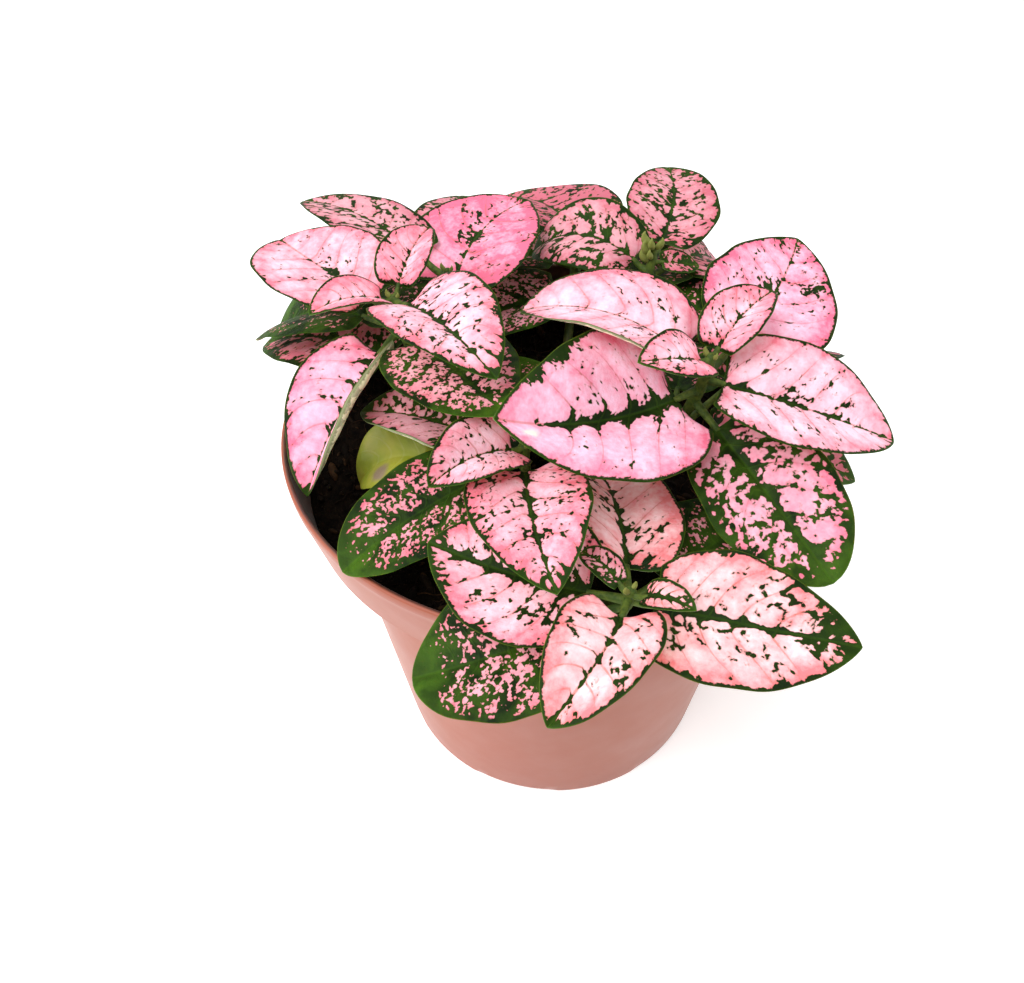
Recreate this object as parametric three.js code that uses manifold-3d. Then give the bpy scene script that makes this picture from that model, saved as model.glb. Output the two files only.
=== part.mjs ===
// A potted polka dot plant (Hypoestes): a tapered plastic nursery pot, the potting soil in it, seven
// leaning stems and the leaves that each stem carries. Millimetres, +Z up. The origin is the middle
// of the pot's flat underside, where it rests.
import * as THREE from 'three';
import Module from 'manifold-3d';
import { mergeVertices } from 'three/addons/utils/BufferGeometryUtils.js';

const wasm = await Module();
wasm.setup();

// --- Driving dimensions -----------------------------------------------------------------------
const RIM_RADIUS = 60;            // outside of the pot's mouth
const POT_HEIGHT = 96;
const BASE_RADIUS = 41.5;         // outside of the pot at the table
const SHOULDER_RADIUS = 50.5;     // outside of the body, just under the collar
const COLLAR_RADIUS = 57;         // outside of the collar at its lower edge
const COLLAR_HEIGHT = 16;
const WALL = 1.2;
const LIP = 1.8;                  // the rim is a little thicker than the wall
const FLOOR = 2;
const ROUND_SIDES = 60;          // facets round the pot and round the soil

const NOTCHES = 6;                // shallow gaps between the feet, which let water out
const NOTCH_SWING = 30;           // degrees of the edge that each one takes
const NOTCH_START = -121;         // heading of the first one's near end
const NOTCH_DEPTH = 1;
const NOTCH_REACH = 6;            // how far in from the edge it runs
const DRAIN_RADIUS = 4;
const DRAIN_RING = 29;            // drain holes stand on a circle of this radius

const GAP = 0.3;                  // clearance between pieces that touch on the real plant
const SOIL_EDGE = 84;             // soil level at the pot's wall
const SOIL_CROWN = 87;            // soil level in the middle
const SOIL_MOUND = [[0.75, 0.45], [0.4, 0.85]];  // part of the radius, part of the way up

const STEM_RADIUS = 1.3;
const STEM_SIDES = 8;
const STEM_STEPS = 8;
const STEM_DEPTH = 8;             // how far a stem goes down into the soil
const STEM_LEAN = 1.7;            // above 1: a stem leans most at its foot and straightens upward

const PETIOLE_RADIUS = 0.75;
const BLADE_THICKNESS = 0.8;
const TIP_THICKNESS = 0.3;
const TIP_WIDTH = 0.4;
const FOLD_EASE = 0.7;            // above 0: a folded blade flattens towards its edges
const LOBE = 0.1;                 // how far the blade's base lobes reach back, as a part of its length
const BLADE_STATIONS = [0, 0.06, 0.22, 0.42, 0.64, 0.85, 1];

// --- The planting plan ------------------------------------------------------------------------
// Each stem has the place of its root end, the place of its tip and its leaves. A leaf's row reads:
// drop (mm below the stem's tip), turn (heading in degrees, 0 is +X), petiole, length, width (mm),
// rise and fall (slope in degrees at the blade's base and tip), roll, sweep (sideways bend), fold.
const STEMS = {
  left: {
    root: [-14, 4], tip: [-34, 8, 121],
    leaves: [
      [1, 72, 2, 17, 12, 40, -5, 0, -10, 25],
      [1, -145, 1, 17, 11, 40, -20, -5, -5, 20],
      [4, 148, 5, 32, 28, 15, -3, 0, -20, 10],
      [1, -60, 6, 34, 22, 25, -15, 5, 5, 20],
      [8, 145, 9, 37, 26, -5, -45, -10, 5, 15],
      [20, 150, 9, 38, 24, 10, -35, -5, 5, 5],
      [8, -125, 6, 34, 21, -15, -45, 15, 10, 30],
      [5, -60, 10, 32, 25, 5, 5, 5, 5, 5],
      [15, 110, 10, 37, 24, 5, -25, 5, 0, 10],
    ],
  },
  right: {
    root: [12, -2], tip: [27, -17, 123],
    leaves: [
      [1, 50, 1, 18, 12, 35, -5, 0, -10, 25],
      [1, -142, 1, 16, 12, 35, 5, -15, -20, 15],
      [4, 155, 4, 34, 24, 35, -25, 0, 10, 15],
      [6, -20, 2, 35, 24, -5, -25, 15, 15, 20],
      [9, -150, 4, 40, 31, 0, 30, -25, -10, 20],
      [5, 50, 11, 37, 28, 5, 5, 20, 20, 5],
      [12, -60, 6, 36, 25, -15, -20, 15, 0, 10],
      [22, -18, 6, 31, 22, 10, -30, 0, 0, 10],
      [21, 32, 14, 31, 23, 20, -40, -5, -5, 20],
      [24, 75, 13, 38, 25, 0, -40, 0, 0, 10],
    ],
  },
  front: {
    root: [6, -34], tip: [9, -58, 106],
    leaves: [
      [2, 130, 1, 9, 6, 35, -15, 0, 10, 15],
      [1, -40, 2, 10, 6, 45, 0, 15, 0, 20],
      [2, -110, 4, 24, 17, 20, -30, 0, -30, 25],
      [5, 85, 6, 38, 22, -5, -20, 10, 20, 20],
      [3, -25, 3, 33, 24, 10, 0, 15, 10, 5],
      [4, 165, 5, 30, 27, 0, 10, -15, -10, 10],
      [6, -160, 6, 32, 26, -10, -20, -10, -20, 10],
      [12, 40, 10, 35, 23, -5, -10, 0, 0, 10],
    ],
  },
  middle: {
    root: [-5, -8], tip: [-8, -26, 110],
    leaves: [
      [1, -145, 1, 20, 14, 35, -20, -15, 5, 25],
      [3, -90, 4, 33, 22, 15, 0, 5, 15, 15],
      [5, -155, 5, 34, 23, -5, -25, 0, 10, 10],
      [6, 150, 5, 31, 22, 14, -18, 0, 10, 15],
      [18, 165, 20, 20, 16, 10, -70, -20, 15, 20],
      [17, 90, 9, 37, 25, 0, -10, 0, 5, 10],
      [2, 30, 1, 16, 11, 25, 0, 0, 0, 15],
    ],
  },
  back_right: {
    root: [12, 14], tip: [24, 37, 114],
    leaves: [
      [4, 65, 6, 34, 23, 15, -5, 5, 30, 5],
      [4, 8, 1, 10, 8, -8, -20, 15, 5, 10],
      [6, 152, 3, 30, 22, 35, -55, -15, 0, 10],
      [7, 46, 9, 39, 27, -6, -65, 15, 5, 10],
      [10, 58, 3, 22, 17, 0, -25, 0, 0, 10],
      [15, 0, 8, 34, 24, 5, -25, 0, 0, 10],
      [14, 64, 11, 35, 24, -4, -45, 0, 0, 10],
    ],
  },
  back_left: {
    root: [-9, 15], tip: [-24, 29, 114],
    leaves: [
      [5, 75, 1, 38, 31, 20, -10, 0, -30, 5],
      [2, 140, 9, 37, 24, 20, -15, 10, 5, 5],
      [8, 90, 13, 34, 23, 15, -20, 0, 0, 5],
      [14, 165, 9, 37, 24, 5, -45, 0, 0, 10],
      [16, 115, 13, 40, 26, 5, -50, -5, 0, 10],
    ],
  },
  back: {
    root: [2, 22], tip: [7, 50, 108],
    leaves: [
      [1, 95, 6, 46, 34, -5, -22, 5, 38, 10],
      [12, -162, 2, 37, 27, 3, -28, 0, 0, 10],
      [9, 76, 8, 36, 23, 5, -40, 0, 0, 10],
      [6, 150, 4, 30, 23, 1, -32, 0, -10, 10],
    ],
  },
};

// --- Materials --------------------------------------------------------------------------------
const paint = (color, roughness) => new THREE.MeshStandardMaterial({ color, roughness, metalness: 0 });
const POT_PLASTIC = paint(0xc2806c, 0.6);
const POTTING_SOIL = paint(0x241b16, 1);
const GREEN_STEM = paint(0x6f7d3a, 0.7);
const PINK_LEAF = paint(0xe893a8, 0.6);
const GREEN_LEAF = paint(0x51603a, 0.6);
const PLAIN_LEAF = paint(0x9aa84e, 0.6);

const MOSTLY_GREEN = {
  left: [5, 6, 8],
  right: [7, 8, 9, 10],
  front: [7, 8],
  middle: [3, 6],
  back_right: [4, 5, 6, 7],
  back_left: [4, 5],
  back: [2, 3, 4],
};
const OLD_PLAIN_LEAF = 'middle_leaf_5';

function leafMaterial(leafName) {
  const [stem, number] = leafName.split('_leaf_');
  if (leafName === OLD_PLAIN_LEAF) {
    return PLAIN_LEAF;
  }
  return MOSTLY_GREEN[stem].includes(Number(number)) ? GREEN_LEAF : PINK_LEAF;
}

// --- Helpers ----------------------------------------------------------------------------------
const radians = THREE.MathUtils.degToRad;
const { lerp } = THREE.MathUtils;

function solidOf(geometry) {
  const bare = geometry.clone();
  bare.deleteAttribute('normal');
  bare.deleteAttribute('uv');
  const merged = mergeVertices(bare);
  const vertProperties = merged.attributes.position.array;
  const triVerts = Uint32Array.from(merged.index.array);
  return new wasm.Manifold(new wasm.Mesh({ numProp: 3, vertProperties, triVerts }));
}

function geometryOf(solid) {
  const { vertProperties, triVerts } = solid.getMesh();
  const geometry = new THREE.BufferGeometry();
  geometry.setAttribute('position', new THREE.BufferAttribute(vertProperties, 3));
  geometry.setIndex(new THREE.BufferAttribute(triVerts, 1));
  geometry.computeVertexNormals();
  return geometry;
}

// A LatheGeometry turns about +Y, so the profile is turned upright afterwards.
function turned(profile, sides) {
  const points = profile.map(([radius, height]) => new THREE.Vector2(radius, height));
  return new THREE.LatheGeometry(points, sides).rotateX(Math.PI / 2);
}

function named(name, geometry, material) {
  const mesh = new THREE.Mesh(geometry, material);
  mesh.name = name;
  return mesh;
}

// --- Pot --------------------------------------------------------------------------------------
const SHOULDER = POT_HEIGHT - COLLAR_HEIGHT;

// The pot's inner radius at a height inside the body, and above the shoulder inside the collar.
function innerRadius(height) {
  if (height < SHOULDER) {
    return lerp(BASE_RADIUS, SHOULDER_RADIUS, height / SHOULDER) - WALL;
  }
  return lerp(COLLAR_RADIUS, RIM_RADIUS, (height - SHOULDER) / COLLAR_HEIGHT) - WALL;
}

function makePot() {
  const lipDrop = 2.5;
  const rounding = 0.5;
  const ledge = SHOULDER + WALL;
  const profile = [
    [0, 0],
    [BASE_RADIUS - rounding, 0],
    [BASE_RADIUS, rounding],
    [SHOULDER_RADIUS, SHOULDER],
    [COLLAR_RADIUS, SHOULDER],
    [RIM_RADIUS - rounding, POT_HEIGHT - lipDrop],
    [RIM_RADIUS, POT_HEIGHT - lipDrop + rounding],
    [RIM_RADIUS, POT_HEIGHT - rounding],
    [RIM_RADIUS - rounding, POT_HEIGHT],
    [RIM_RADIUS - LIP + rounding, POT_HEIGHT],
    [RIM_RADIUS - LIP, POT_HEIGHT - rounding],
    [innerRadius(ledge), ledge],
    [innerRadius(SHOULDER - WALL), ledge],
    [innerRadius(FLOOR), FLOOR],
    [0, FLOOR],
  ];
  let pot = solidOf(turned(profile, ROUND_SIDES));

  const notchMiddle = BASE_RADIUS - NOTCH_REACH / 2 + 1;
  const notchWidth = 2 * BASE_RADIUS * Math.tan(radians(NOTCH_SWING / 2));
  for (let i = 0; i < NOTCHES; i += 1) {
    const heading = radians(NOTCH_START + NOTCH_SWING / 2 + (i * 360) / NOTCHES);
    const notch = new THREE.BoxGeometry(NOTCH_REACH + 2, notchWidth, 2 * NOTCH_DEPTH);
    notch.translate(notchMiddle, 0, 0).rotateZ(heading);
    const drain = new THREE.CylinderGeometry(DRAIN_RADIUS, DRAIN_RADIUS, 4 * FLOOR, 16);
    drain.rotateX(Math.PI / 2).translate(DRAIN_RING, 0, 0).rotateZ(heading);
    pot = pot.subtract(solidOf(notch)).subtract(solidOf(drain));
  }
  return named('pot', geometryOf(pot), POT_PLASTIC);
}

// --- Stems and soil ---------------------------------------------------------------------------
class StemLine extends THREE.Curve {
  constructor({ root, tip }) {
    super();
    this.root = new THREE.Vector3(root[0], root[1], SOIL_EDGE - STEM_DEPTH);
    this.tip = new THREE.Vector3(...tip);
  }

  // t runs evenly with height, so the point at any height needs no search.
  getPoint(t, target = new THREE.Vector3()) {
    const lean = 1 - (1 - t) ** STEM_LEAN;
    const x = lerp(this.root.x, this.tip.x, lean);
    const y = lerp(this.root.y, this.tip.y, lean);
    return target.set(x, y, lerp(this.root.z, this.tip.z, t));
  }

  atDrop(drop) {
    return 1 - drop / (this.tip.z - this.root.z);
  }
}

function tube(line, radius, steps) {
  const circle = new THREE.Shape().absarc(0, 0, radius, 0, 2 * Math.PI, false);
  const curveSegments = STEM_SIDES / 2;
  return new THREE.ExtrudeGeometry(circle, { extrudePath: line, steps, curveSegments, bevelEnabled: false });
}

function makeSoil(lines) {
  const bottom = FLOOR + GAP;
  const below = SHOULDER - WALL;
  const above = SHOULDER + WALL + GAP;
  const profile = [
    [0, bottom],
    [innerRadius(bottom) - GAP, bottom],
    [innerRadius(below) - GAP, above],
    [innerRadius(above) - GAP, above],
    [innerRadius(SOIL_EDGE) - GAP, SOIL_EDGE],
    ...SOIL_MOUND.map(([out, rise]) => [out * RIM_RADIUS, lerp(SOIL_EDGE, SOIL_CROWN, rise)]),
    [0, SOIL_CROWN],
  ];
  let soil = solidOf(turned(profile, ROUND_SIDES));
  for (const line of lines) {
    const socket = tube(line, STEM_RADIUS + GAP, STEM_STEPS);
    const downward = line.getTangent(0).multiplyScalar(-3 * GAP);
    const end = new THREE.LineCurve3(line.root.clone().sub(downward), line.root.clone().add(downward));
    soil = soil.subtract(solidOf(socket)).subtract(solidOf(tube(end, STEM_RADIUS + GAP, 1)));
  }
  return named('soil', geometryOf(soil), POTTING_SOIL);
}

// --- Leaves -----------------------------------------------------------------------------------
// Half-width of a blade at t along it, 1 at the widest place: round at the base, pointed at the tip.
const ROUND_BASE = 0.45;
const POINTED_TIP = 0.78;

function bladeShape(t) {
  const widest = ROUND_BASE / (ROUND_BASE + POINTED_TIP);
  const atWidest = widest ** ROUND_BASE * (1 - widest) ** POINTED_TIP;
  return (t ** ROUND_BASE * (1 - t) ** POINTED_TIP) / atWidest;
}

// The directions along, to the left of and out of the top of a leaf that heads and slopes this way.
function leafFrame(heading, slope, roll) {
  const flat = Math.cos(slope);
  const along = new THREE.Vector3(Math.cos(heading) * flat, Math.sin(heading) * flat, Math.sin(slope));
  const level = new THREE.Vector3(-Math.sin(heading), Math.cos(heading), 0);
  const side = level.applyAxisAngle(along, roll);
  return { along, side, up: along.clone().cross(side) };
}

// Eight points round one section: an edge, three along the top, the other edge, three underneath.
const ACROSS = [1, 0.5, 0, -0.5, -1, -0.5, 0, 0.5];
const LAYER = [0, 1, 1, 1, 0, -1, -1, -1];

function sectionRing(centre, frame, halfWidth, halfThickness, fold, back) {
  return ACROSS.map((across, i) => {
    const out = Math.abs(across);
    const lift = halfWidth * Math.tan(fold) * ((1 + FOLD_EASE) * out - FOLD_EASE * out * out);
    return centre.clone()
      .addScaledVector(frame.side, across * halfWidth)
      .addScaledVector(frame.up, lift + LAYER[i] * halfThickness)
      .addScaledVector(frame.along, -back * out * out);
  });
}

// One closed body through a row of rings, with a flat cap on the first and the last.
function loft(rings) {
  const sides = rings[0].length;
  const index = [];
  for (let r = 0; r + 1 < rings.length; r += 1) {
    for (let i = 0; i < sides; i += 1) {
      const a = r * sides + i;
      const b = r * sides + ((i + 1) % sides);
      index.push(a, b, a + sides, b, b + sides, a + sides);
    }
  }
  const last = (rings.length - 1) * sides;
  for (let i = 1; i + 1 < sides; i += 1) {
    index.push(0, i + 1, i, last, last + i, last + i + 1);
  }
  const geometry = new THREE.BufferGeometry().setFromPoints(rings.flat());
  geometry.setIndex(index);
  geometry.computeVertexNormals();
  return geometry;
}

function makeLeaf(name, line, row, material) {
  const [drop, turn, petiole, length, width, rise, fall, roll, sweep, fold] = row;
  const start = line.atDrop(drop);
  const heading = radians(turn);
  const lift = radians(rise);

  // The petiole starts square to the stem, one clearance off it.
  const grain = line.getTangent(start);
  const outward = new THREE.Vector3(Math.cos(heading), Math.sin(heading), 0);
  outward.addScaledVector(grain, -outward.dot(grain)).normalize();
  const seat = line.getPoint(start).addScaledVector(outward, STEM_RADIUS + GAP);
  const seatSide = grain.clone().cross(outward);
  const seatFrame = { along: outward, side: seatSide, up: grain };
  const base = leafFrame(heading, lift, 0);
  const rings = [sectionRing(seat, seatFrame, PETIOLE_RADIUS, PETIOLE_RADIUS, 0, 0)];

  const centre = seat.clone().addScaledVector(base.along, petiole);
  let before = 0;
  for (const t of BLADE_STATIONS) {
    const middle = (before + t) / 2;
    const step = leafFrame(heading + radians(sweep) * middle, lerp(lift, radians(fall), middle), 0);
    centre.addScaledVector(step.along, (t - before) * length);
    const frame = leafFrame(heading + radians(sweep) * t, lerp(lift, radians(fall), t), radians(roll));
    const halfWidth = Math.max((bladeShape(t) * width) / 2, t < 1 ? PETIOLE_RADIUS : TIP_WIDTH / 2);
    const halfThickness = lerp(BLADE_THICKNESS, TIP_THICKNESS, t) / 2;
    const back = t > 0 ? LOBE * length * (1 - t) ** 3 : 0;
    rings.push(sectionRing(centre, frame, halfWidth, halfThickness, t > 0 ? radians(fold) : 0, back));
    before = t;
  }
  return named(name, loft(rings), material);
}

// --- Assembly ---------------------------------------------------------------------------------
const plant = new THREE.Group();
plant.add(makePot());

const lines = Object.fromEntries(Object.entries(STEMS).map(([name, stem]) => [name, new StemLine(stem)]));
plant.add(makeSoil(Object.values(lines)));

for (const [name, stem] of Object.entries(STEMS)) {
  const line = lines[name];
  plant.add(named(`${name}_stem`, tube(line, STEM_RADIUS, STEM_STEPS), GREEN_STEM));
  stem.leaves.forEach((row, i) => {
    const leafName = `${name}_leaf_${i + 1}`;
    plant.add(makeLeaf(leafName, line, row, leafMaterial(leafName)));
  });
}

export default plant;
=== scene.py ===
# %% [markdown]
# # A potted polka dot plant
#
# The real object is a young foliage plant in a thin plastic nursery pot. Soft oval leaves, pink with
# dark green flecks, stand in opposite pairs on seven leaning stems, and the pot is filled with dark
# potting soil almost to its rim. This lesson builds the pot, the soil, the stems and the leaves as
# real meshes, and paints them with node materials that have no image in them.
#
# We start from a frame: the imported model, which says where every piece stands and how big it is.

# %% Load the frame
import math
import random
import bpy
import numpy as np
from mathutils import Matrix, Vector, noise


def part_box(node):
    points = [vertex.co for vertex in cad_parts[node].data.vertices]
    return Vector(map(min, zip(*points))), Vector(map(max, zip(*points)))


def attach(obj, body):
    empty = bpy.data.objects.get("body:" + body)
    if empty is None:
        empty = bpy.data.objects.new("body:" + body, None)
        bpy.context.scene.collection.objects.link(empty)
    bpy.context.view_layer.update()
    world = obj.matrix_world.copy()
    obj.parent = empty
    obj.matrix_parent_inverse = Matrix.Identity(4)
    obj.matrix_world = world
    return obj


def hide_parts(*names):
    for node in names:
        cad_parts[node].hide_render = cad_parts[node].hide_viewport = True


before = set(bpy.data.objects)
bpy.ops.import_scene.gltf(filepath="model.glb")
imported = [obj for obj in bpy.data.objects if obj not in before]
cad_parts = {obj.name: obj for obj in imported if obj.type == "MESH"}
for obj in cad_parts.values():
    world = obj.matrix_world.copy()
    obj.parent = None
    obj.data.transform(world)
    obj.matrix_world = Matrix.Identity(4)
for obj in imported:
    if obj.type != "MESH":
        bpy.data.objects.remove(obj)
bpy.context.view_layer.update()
MM = 0.001
print("nodes in the frame:", len(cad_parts))

# %% [markdown]
# ## Camera, floor and light
#
# A plant like this is often pictured from a standing person's view, looking down at the near side of
# the pot, on white in soft daylight. One lamp would leave hard shadows between so many leaves. We take
# four soft ones: the key light high at the front left, a fill from the right, one from behind, and a
# low one from the left for the side of the pot. A bright sky and a floor that glows a little keep the
# shadows open and turn the floor white.

# %% Camera
def aim(obj, place, target, roll=0.0):
    """Puts obj at place, looking at target, turned by roll degrees about its view."""
    obj.location = place
    turn = (Vector(target) - Vector(place)).to_track_quat("-Z", "Y")
    obj.rotation_euler = turn.to_euler()
    obj.rotation_euler.rotate_axis("Z", math.radians(roll))


SENSOR_MM, LENS_MM = 36.0, 31.64
CAMERA_PLACE = Vector((-10.4, -150.8, 224.7)) * MM
CAMERA_TILT, CAMERA_ROLL = math.radians(45.6), -1.3
camera_data = bpy.data.cameras.new("camera")
camera = bpy.data.objects.new("camera", camera_data)
bpy.context.scene.collection.objects.link(camera)
camera_data.sensor_width = SENSOR_MM
camera_data.lens = LENS_MM
camera_data.clip_start = 10 * MM
bpy.context.scene.camera = camera
view_line = Vector((0.0, math.cos(CAMERA_TILT), -math.sin(CAMERA_TILT)))
aim(camera, CAMERA_PLACE, CAMERA_PLACE + view_line, CAMERA_ROLL)
print("camera stands", round(CAMERA_PLACE.length / MM), "mm from the pot's foot")

# %% Floor and light
FLOOR_SIZE, FLOOR_DROP = 6.0, 0.2 * MM
FLOOR_WHITE, FLOOR_GLOW, SKY_LIGHT = 0.93, 0.3, 0.42
half = FLOOR_SIZE / 2
floor_mesh = bpy.data.meshes.new("floor")
corners = [(-half, -half, 0), (half, -half, 0), (half, half, 0), (-half, half, 0)]
floor_mesh.from_pydata(corners, [], [(0, 1, 2, 3)])
floor = bpy.data.objects.new("floor", floor_mesh)
floor.location.z = -FLOOR_DROP
bpy.context.scene.collection.objects.link(floor)

floor_paint = bpy.data.materials.new("floor_paint")
floor_paint.use_nodes = True
paint = floor_paint.node_tree.nodes["Principled BSDF"].inputs
paint["Base Color"].default_value = (FLOOR_WHITE, FLOOR_WHITE, FLOOR_WHITE, 1)
paint["Roughness"].default_value = 0.9
paint["Emission Color"].default_value = (1, 1, 1, 1)
paint["Emission Strength"].default_value = FLOOR_GLOW
floor_mesh.materials.append(floor_paint)


def softbox(name, place, target, size, power):
    data = bpy.data.lights.new(name, "AREA")
    data.shape = "RECTANGLE"
    data.size, data.size_y = size
    data.energy = power
    lamp = bpy.data.objects.new(name, data)
    bpy.context.scene.collection.objects.link(lamp)
    aim(lamp, place, target)


softbox("key", (-0.4, -0.42, 0.95), (0, 0, 0.1), (0.6, 0.6), 9.2)
softbox("fill", (0.8, 0.0, 0.55), (0, 0, 0.08), (0.5, 0.5), 3.4)
softbox("back", (-0.3, 0.6, 0.9), (0, 0, 0.1), (0.8, 0.5), 3.5)
softbox("side", (-0.9, -0.1, 0.3), (0, 0, 0.06), (0.4, 0.6), 4.6)

world = bpy.data.worlds.new("sky")
bpy.context.scene.world = world
world.use_nodes = True
world.node_tree.nodes["Background"].inputs["Color"].default_value = (1.0, 1.0, 1.0, 1)
world.node_tree.nodes["Background"].inputs["Strength"].default_value = SKY_LIGHT
bpy.context.scene.view_settings.view_transform = "Standard"

# %% [markdown]
# ## Small tools for materials
#
# Most of the plant's finish is pattern: flecks, veins, a green margin. Each of these could be drawn as
# an image, but a pattern made from nodes stays sharp at every distance. A pattern that several
# materials share becomes a node group with named sockets. These helpers keep the node code short.

# %% Node helpers
class Nodes:
    """A short way to add nodes to one tree: each call makes a node, sets it and links its inputs."""

    def __init__(self, tree):
        self.tree = tree

    def put(self, node, values):
        """Links each value that is a socket to its input, and writes each plain value into it."""
        for key, value in values.items():
            socket = node.inputs[key]
            if isinstance(value, bpy.types.NodeSocket):
                self.tree.links.new(value, socket)
            else:
                socket.default_value = value
        return node

    def add(self, kind, inputs=None, **settings):
        node = self.tree.nodes.new(kind)
        for key, value in settings.items():
            setattr(node, key, value)
        return self.put(node, inputs or {})

    def math(self, operation, a, b=0.0, c=0.0, clamp=False):
        node = self.add("ShaderNodeMath", {0: a, 1: b, 2: c}, operation=operation, use_clamp=clamp)
        return node.outputs[0]

    def plus(self, a, b, clamp=False):
        return self.math("ADD", a, b, clamp=clamp)

    def minus(self, a, b):
        return self.math("SUBTRACT", a, b)

    def times(self, a, b):
        return self.math("MULTIPLY", a, b)

    def over(self, a, b):
        return self.math("DIVIDE", a, b)

    def ramp(self, value, low, high, to_low=0.0, to_high=1.0, smooth=False):
        """value taken from low..high to to_low..to_high, held at both ends."""
        node = self.add("ShaderNodeMapRange", {
            "Value": value, "From Min": low, "From Max": high, "To Min": to_low, "To Max": to_high})
        node.interpolation_type = "SMOOTHSTEP" if smooth else "LINEAR"
        return node.outputs["Result"]

    def mix(self, share, a, b):
        """The colour a, b or between them, as share goes from 0 to 1."""
        return self.add("ShaderNodeMix", data_type="RGBA", inputs={0: share, 6: a, 7: b}).outputs[2]

    def facts(self, name):
        """The three numbers that a mesh carries at each point under this name."""
        node = self.add("ShaderNodeAttribute", attribute_name=name)
        return tuple(self.add("ShaderNodeSeparateXYZ", {0: node.outputs["Vector"]}).outputs)

    def noise(self, vector, scale, detail=2.0, roughness=0.5, distortion=0.0):
        node = self.add("ShaderNodeTexNoise", {
            "Vector": vector, "Scale": scale, "Detail": detail,
            "Roughness": roughness, "Distortion": distortion})
        return node.outputs["Fac"]

    def where(self):
        """The place of each point, in the object's own metres."""
        return self.add("ShaderNodeTexCoord").outputs["Object"]

    def point(self, x, y, z):
        return self.add("ShaderNodeCombineXYZ", {0: x, 1: y, 2: z}).outputs[0]

    def bump(self, height, strength, distance):
        node = self.add("ShaderNodeBump", {"Height": height, "Strength": strength, "Distance": distance})
        return node.outputs[0]

    def group(self, name, inputs):
        """Places the node group of this name and returns its outputs."""
        return self.add("ShaderNodeGroup", inputs, node_tree=bpy.data.node_groups[name]).outputs


def new_group(name, ins, outs):
    """An empty group with sockets {name: default}; returns its helper, its inputs and its output node."""
    tree = bpy.data.node_groups.new(name, "ShaderNodeTree")
    for label, default in ins.items():
        kind = "NodeSocketColor" if isinstance(default, tuple) else "NodeSocketFloat"
        tree.interface.new_socket(label, in_out="INPUT", socket_type=kind).default_value = default
    for label, kind in outs.items():
        tree.interface.new_socket(label, in_out="OUTPUT", socket_type="NodeSocket" + kind)
    nodes = Nodes(tree)
    entry = nodes.add("NodeGroupInput")
    leave = nodes.add("NodeGroupOutput")
    return nodes, entry.outputs, leave


def new_material(name):
    material = bpy.data.materials.new(name)
    material.use_nodes = True
    return material, Nodes(material.node_tree), material.node_tree.nodes["Principled BSDF"]


def glow_inside(weight, radius, scale):
    """The sockets that let a little light pass through a soft or thin thing."""
    return {"Subsurface Weight": weight, "Subsurface Radius": radius, "Subsurface Scale": scale}


print("node helpers are ready")

# %% [markdown]
# ## Small tools for meshes
#
# Turned things, such as a pot, are level rings one above the other. Stems and leaf stalks are rings
# swept along a curve. Both are closed by a point at each end, so numpy arrays and two helpers, one
# that joins a grid of points and one that closes a row of rings, are enough.

# %% Mesh helpers
def grid_faces(rows, columns, closed):
    """Quads joining a grid of rows x columns points, closed round each row or open."""
    faces = []
    last = columns if closed else columns - 1
    for r in range(rows - 1):
        for c in range(last):
            a = r * columns + c
            b = r * columns + (c + 1) % columns
            faces.append((a, b, b + columns, a + columns))
    return faces


def closed_rings(rings, start, end):
    """Points and faces of a closed skin over rings of points, with a point at each end."""
    sides = len(rings[0])
    points = np.concatenate([*rings, [start], [end]])
    faces = grid_faces(len(rings), sides, True)
    first, last, base = len(points) - 2, len(points) - 1, (len(rings) - 1) * sides
    for c in range(sides):
        n = (c + 1) % sides
        faces.append((first, n, c))
        faces.append((last, base + c, base + n))
    return points, faces


def level_ring(radius, height, turns):
    angles = [2 * math.pi * i / turns for i in range(turns)]
    return [(radius * math.cos(a), radius * math.sin(a), height) for a in angles]


def unit(v):
    return v / np.linalg.norm(v)


def sweep(path, radii, sides):
    """A closed tube: rings of this many sides round each point of the path, and two end points."""
    path = np.asarray(path, float)
    rings = []
    side = None
    for i, centre in enumerate(path):
        ahead = unit(path[min(i + 1, len(path) - 1)] - path[max(i - 1, 0)])
        if side is None:
            guess = np.array([0.0, 0.0, 1.0]) if abs(ahead[2]) < 0.9 else np.array([1.0, 0.0, 0.0])
            side = unit(np.cross(ahead, guess))
        side = unit(side - ahead * side.dot(ahead))
        up = np.cross(ahead, side)
        angles = np.arange(sides) * 2 * math.pi / sides
        ring = centre + radii[i] * (np.outer(np.cos(angles), side) + np.outer(np.sin(angles), up))
        rings.append(ring)
    return closed_rings(rings, path[0], path[-1])


def shifted(faces, count):
    """The same faces over points that start at this count."""
    return [tuple(v + count for v in face) for face in faces]


def make_object(name, points, faces, material):
    mesh = bpy.data.meshes.new(name)
    mesh.from_pydata([tuple(p) for p in points], [], faces)
    mesh.validate()
    mesh.materials.append(material)
    mesh.polygons.foreach_set("use_smooth", [True] * len(mesh.polygons))
    obj = bpy.data.objects.new(name, mesh)
    bpy.context.scene.collection.objects.link(obj)
    return obj


def carry(obj, name, columns):
    """Writes three numbers a point into the mesh, for the materials to read under this name."""
    layer = obj.data.attributes.new(name, "FLOAT_VECTOR", "POINT")
    layer.data.foreach_set("vector", np.ascontiguousarray(columns, np.float32).ravel())


print("mesh helpers are ready")
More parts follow.
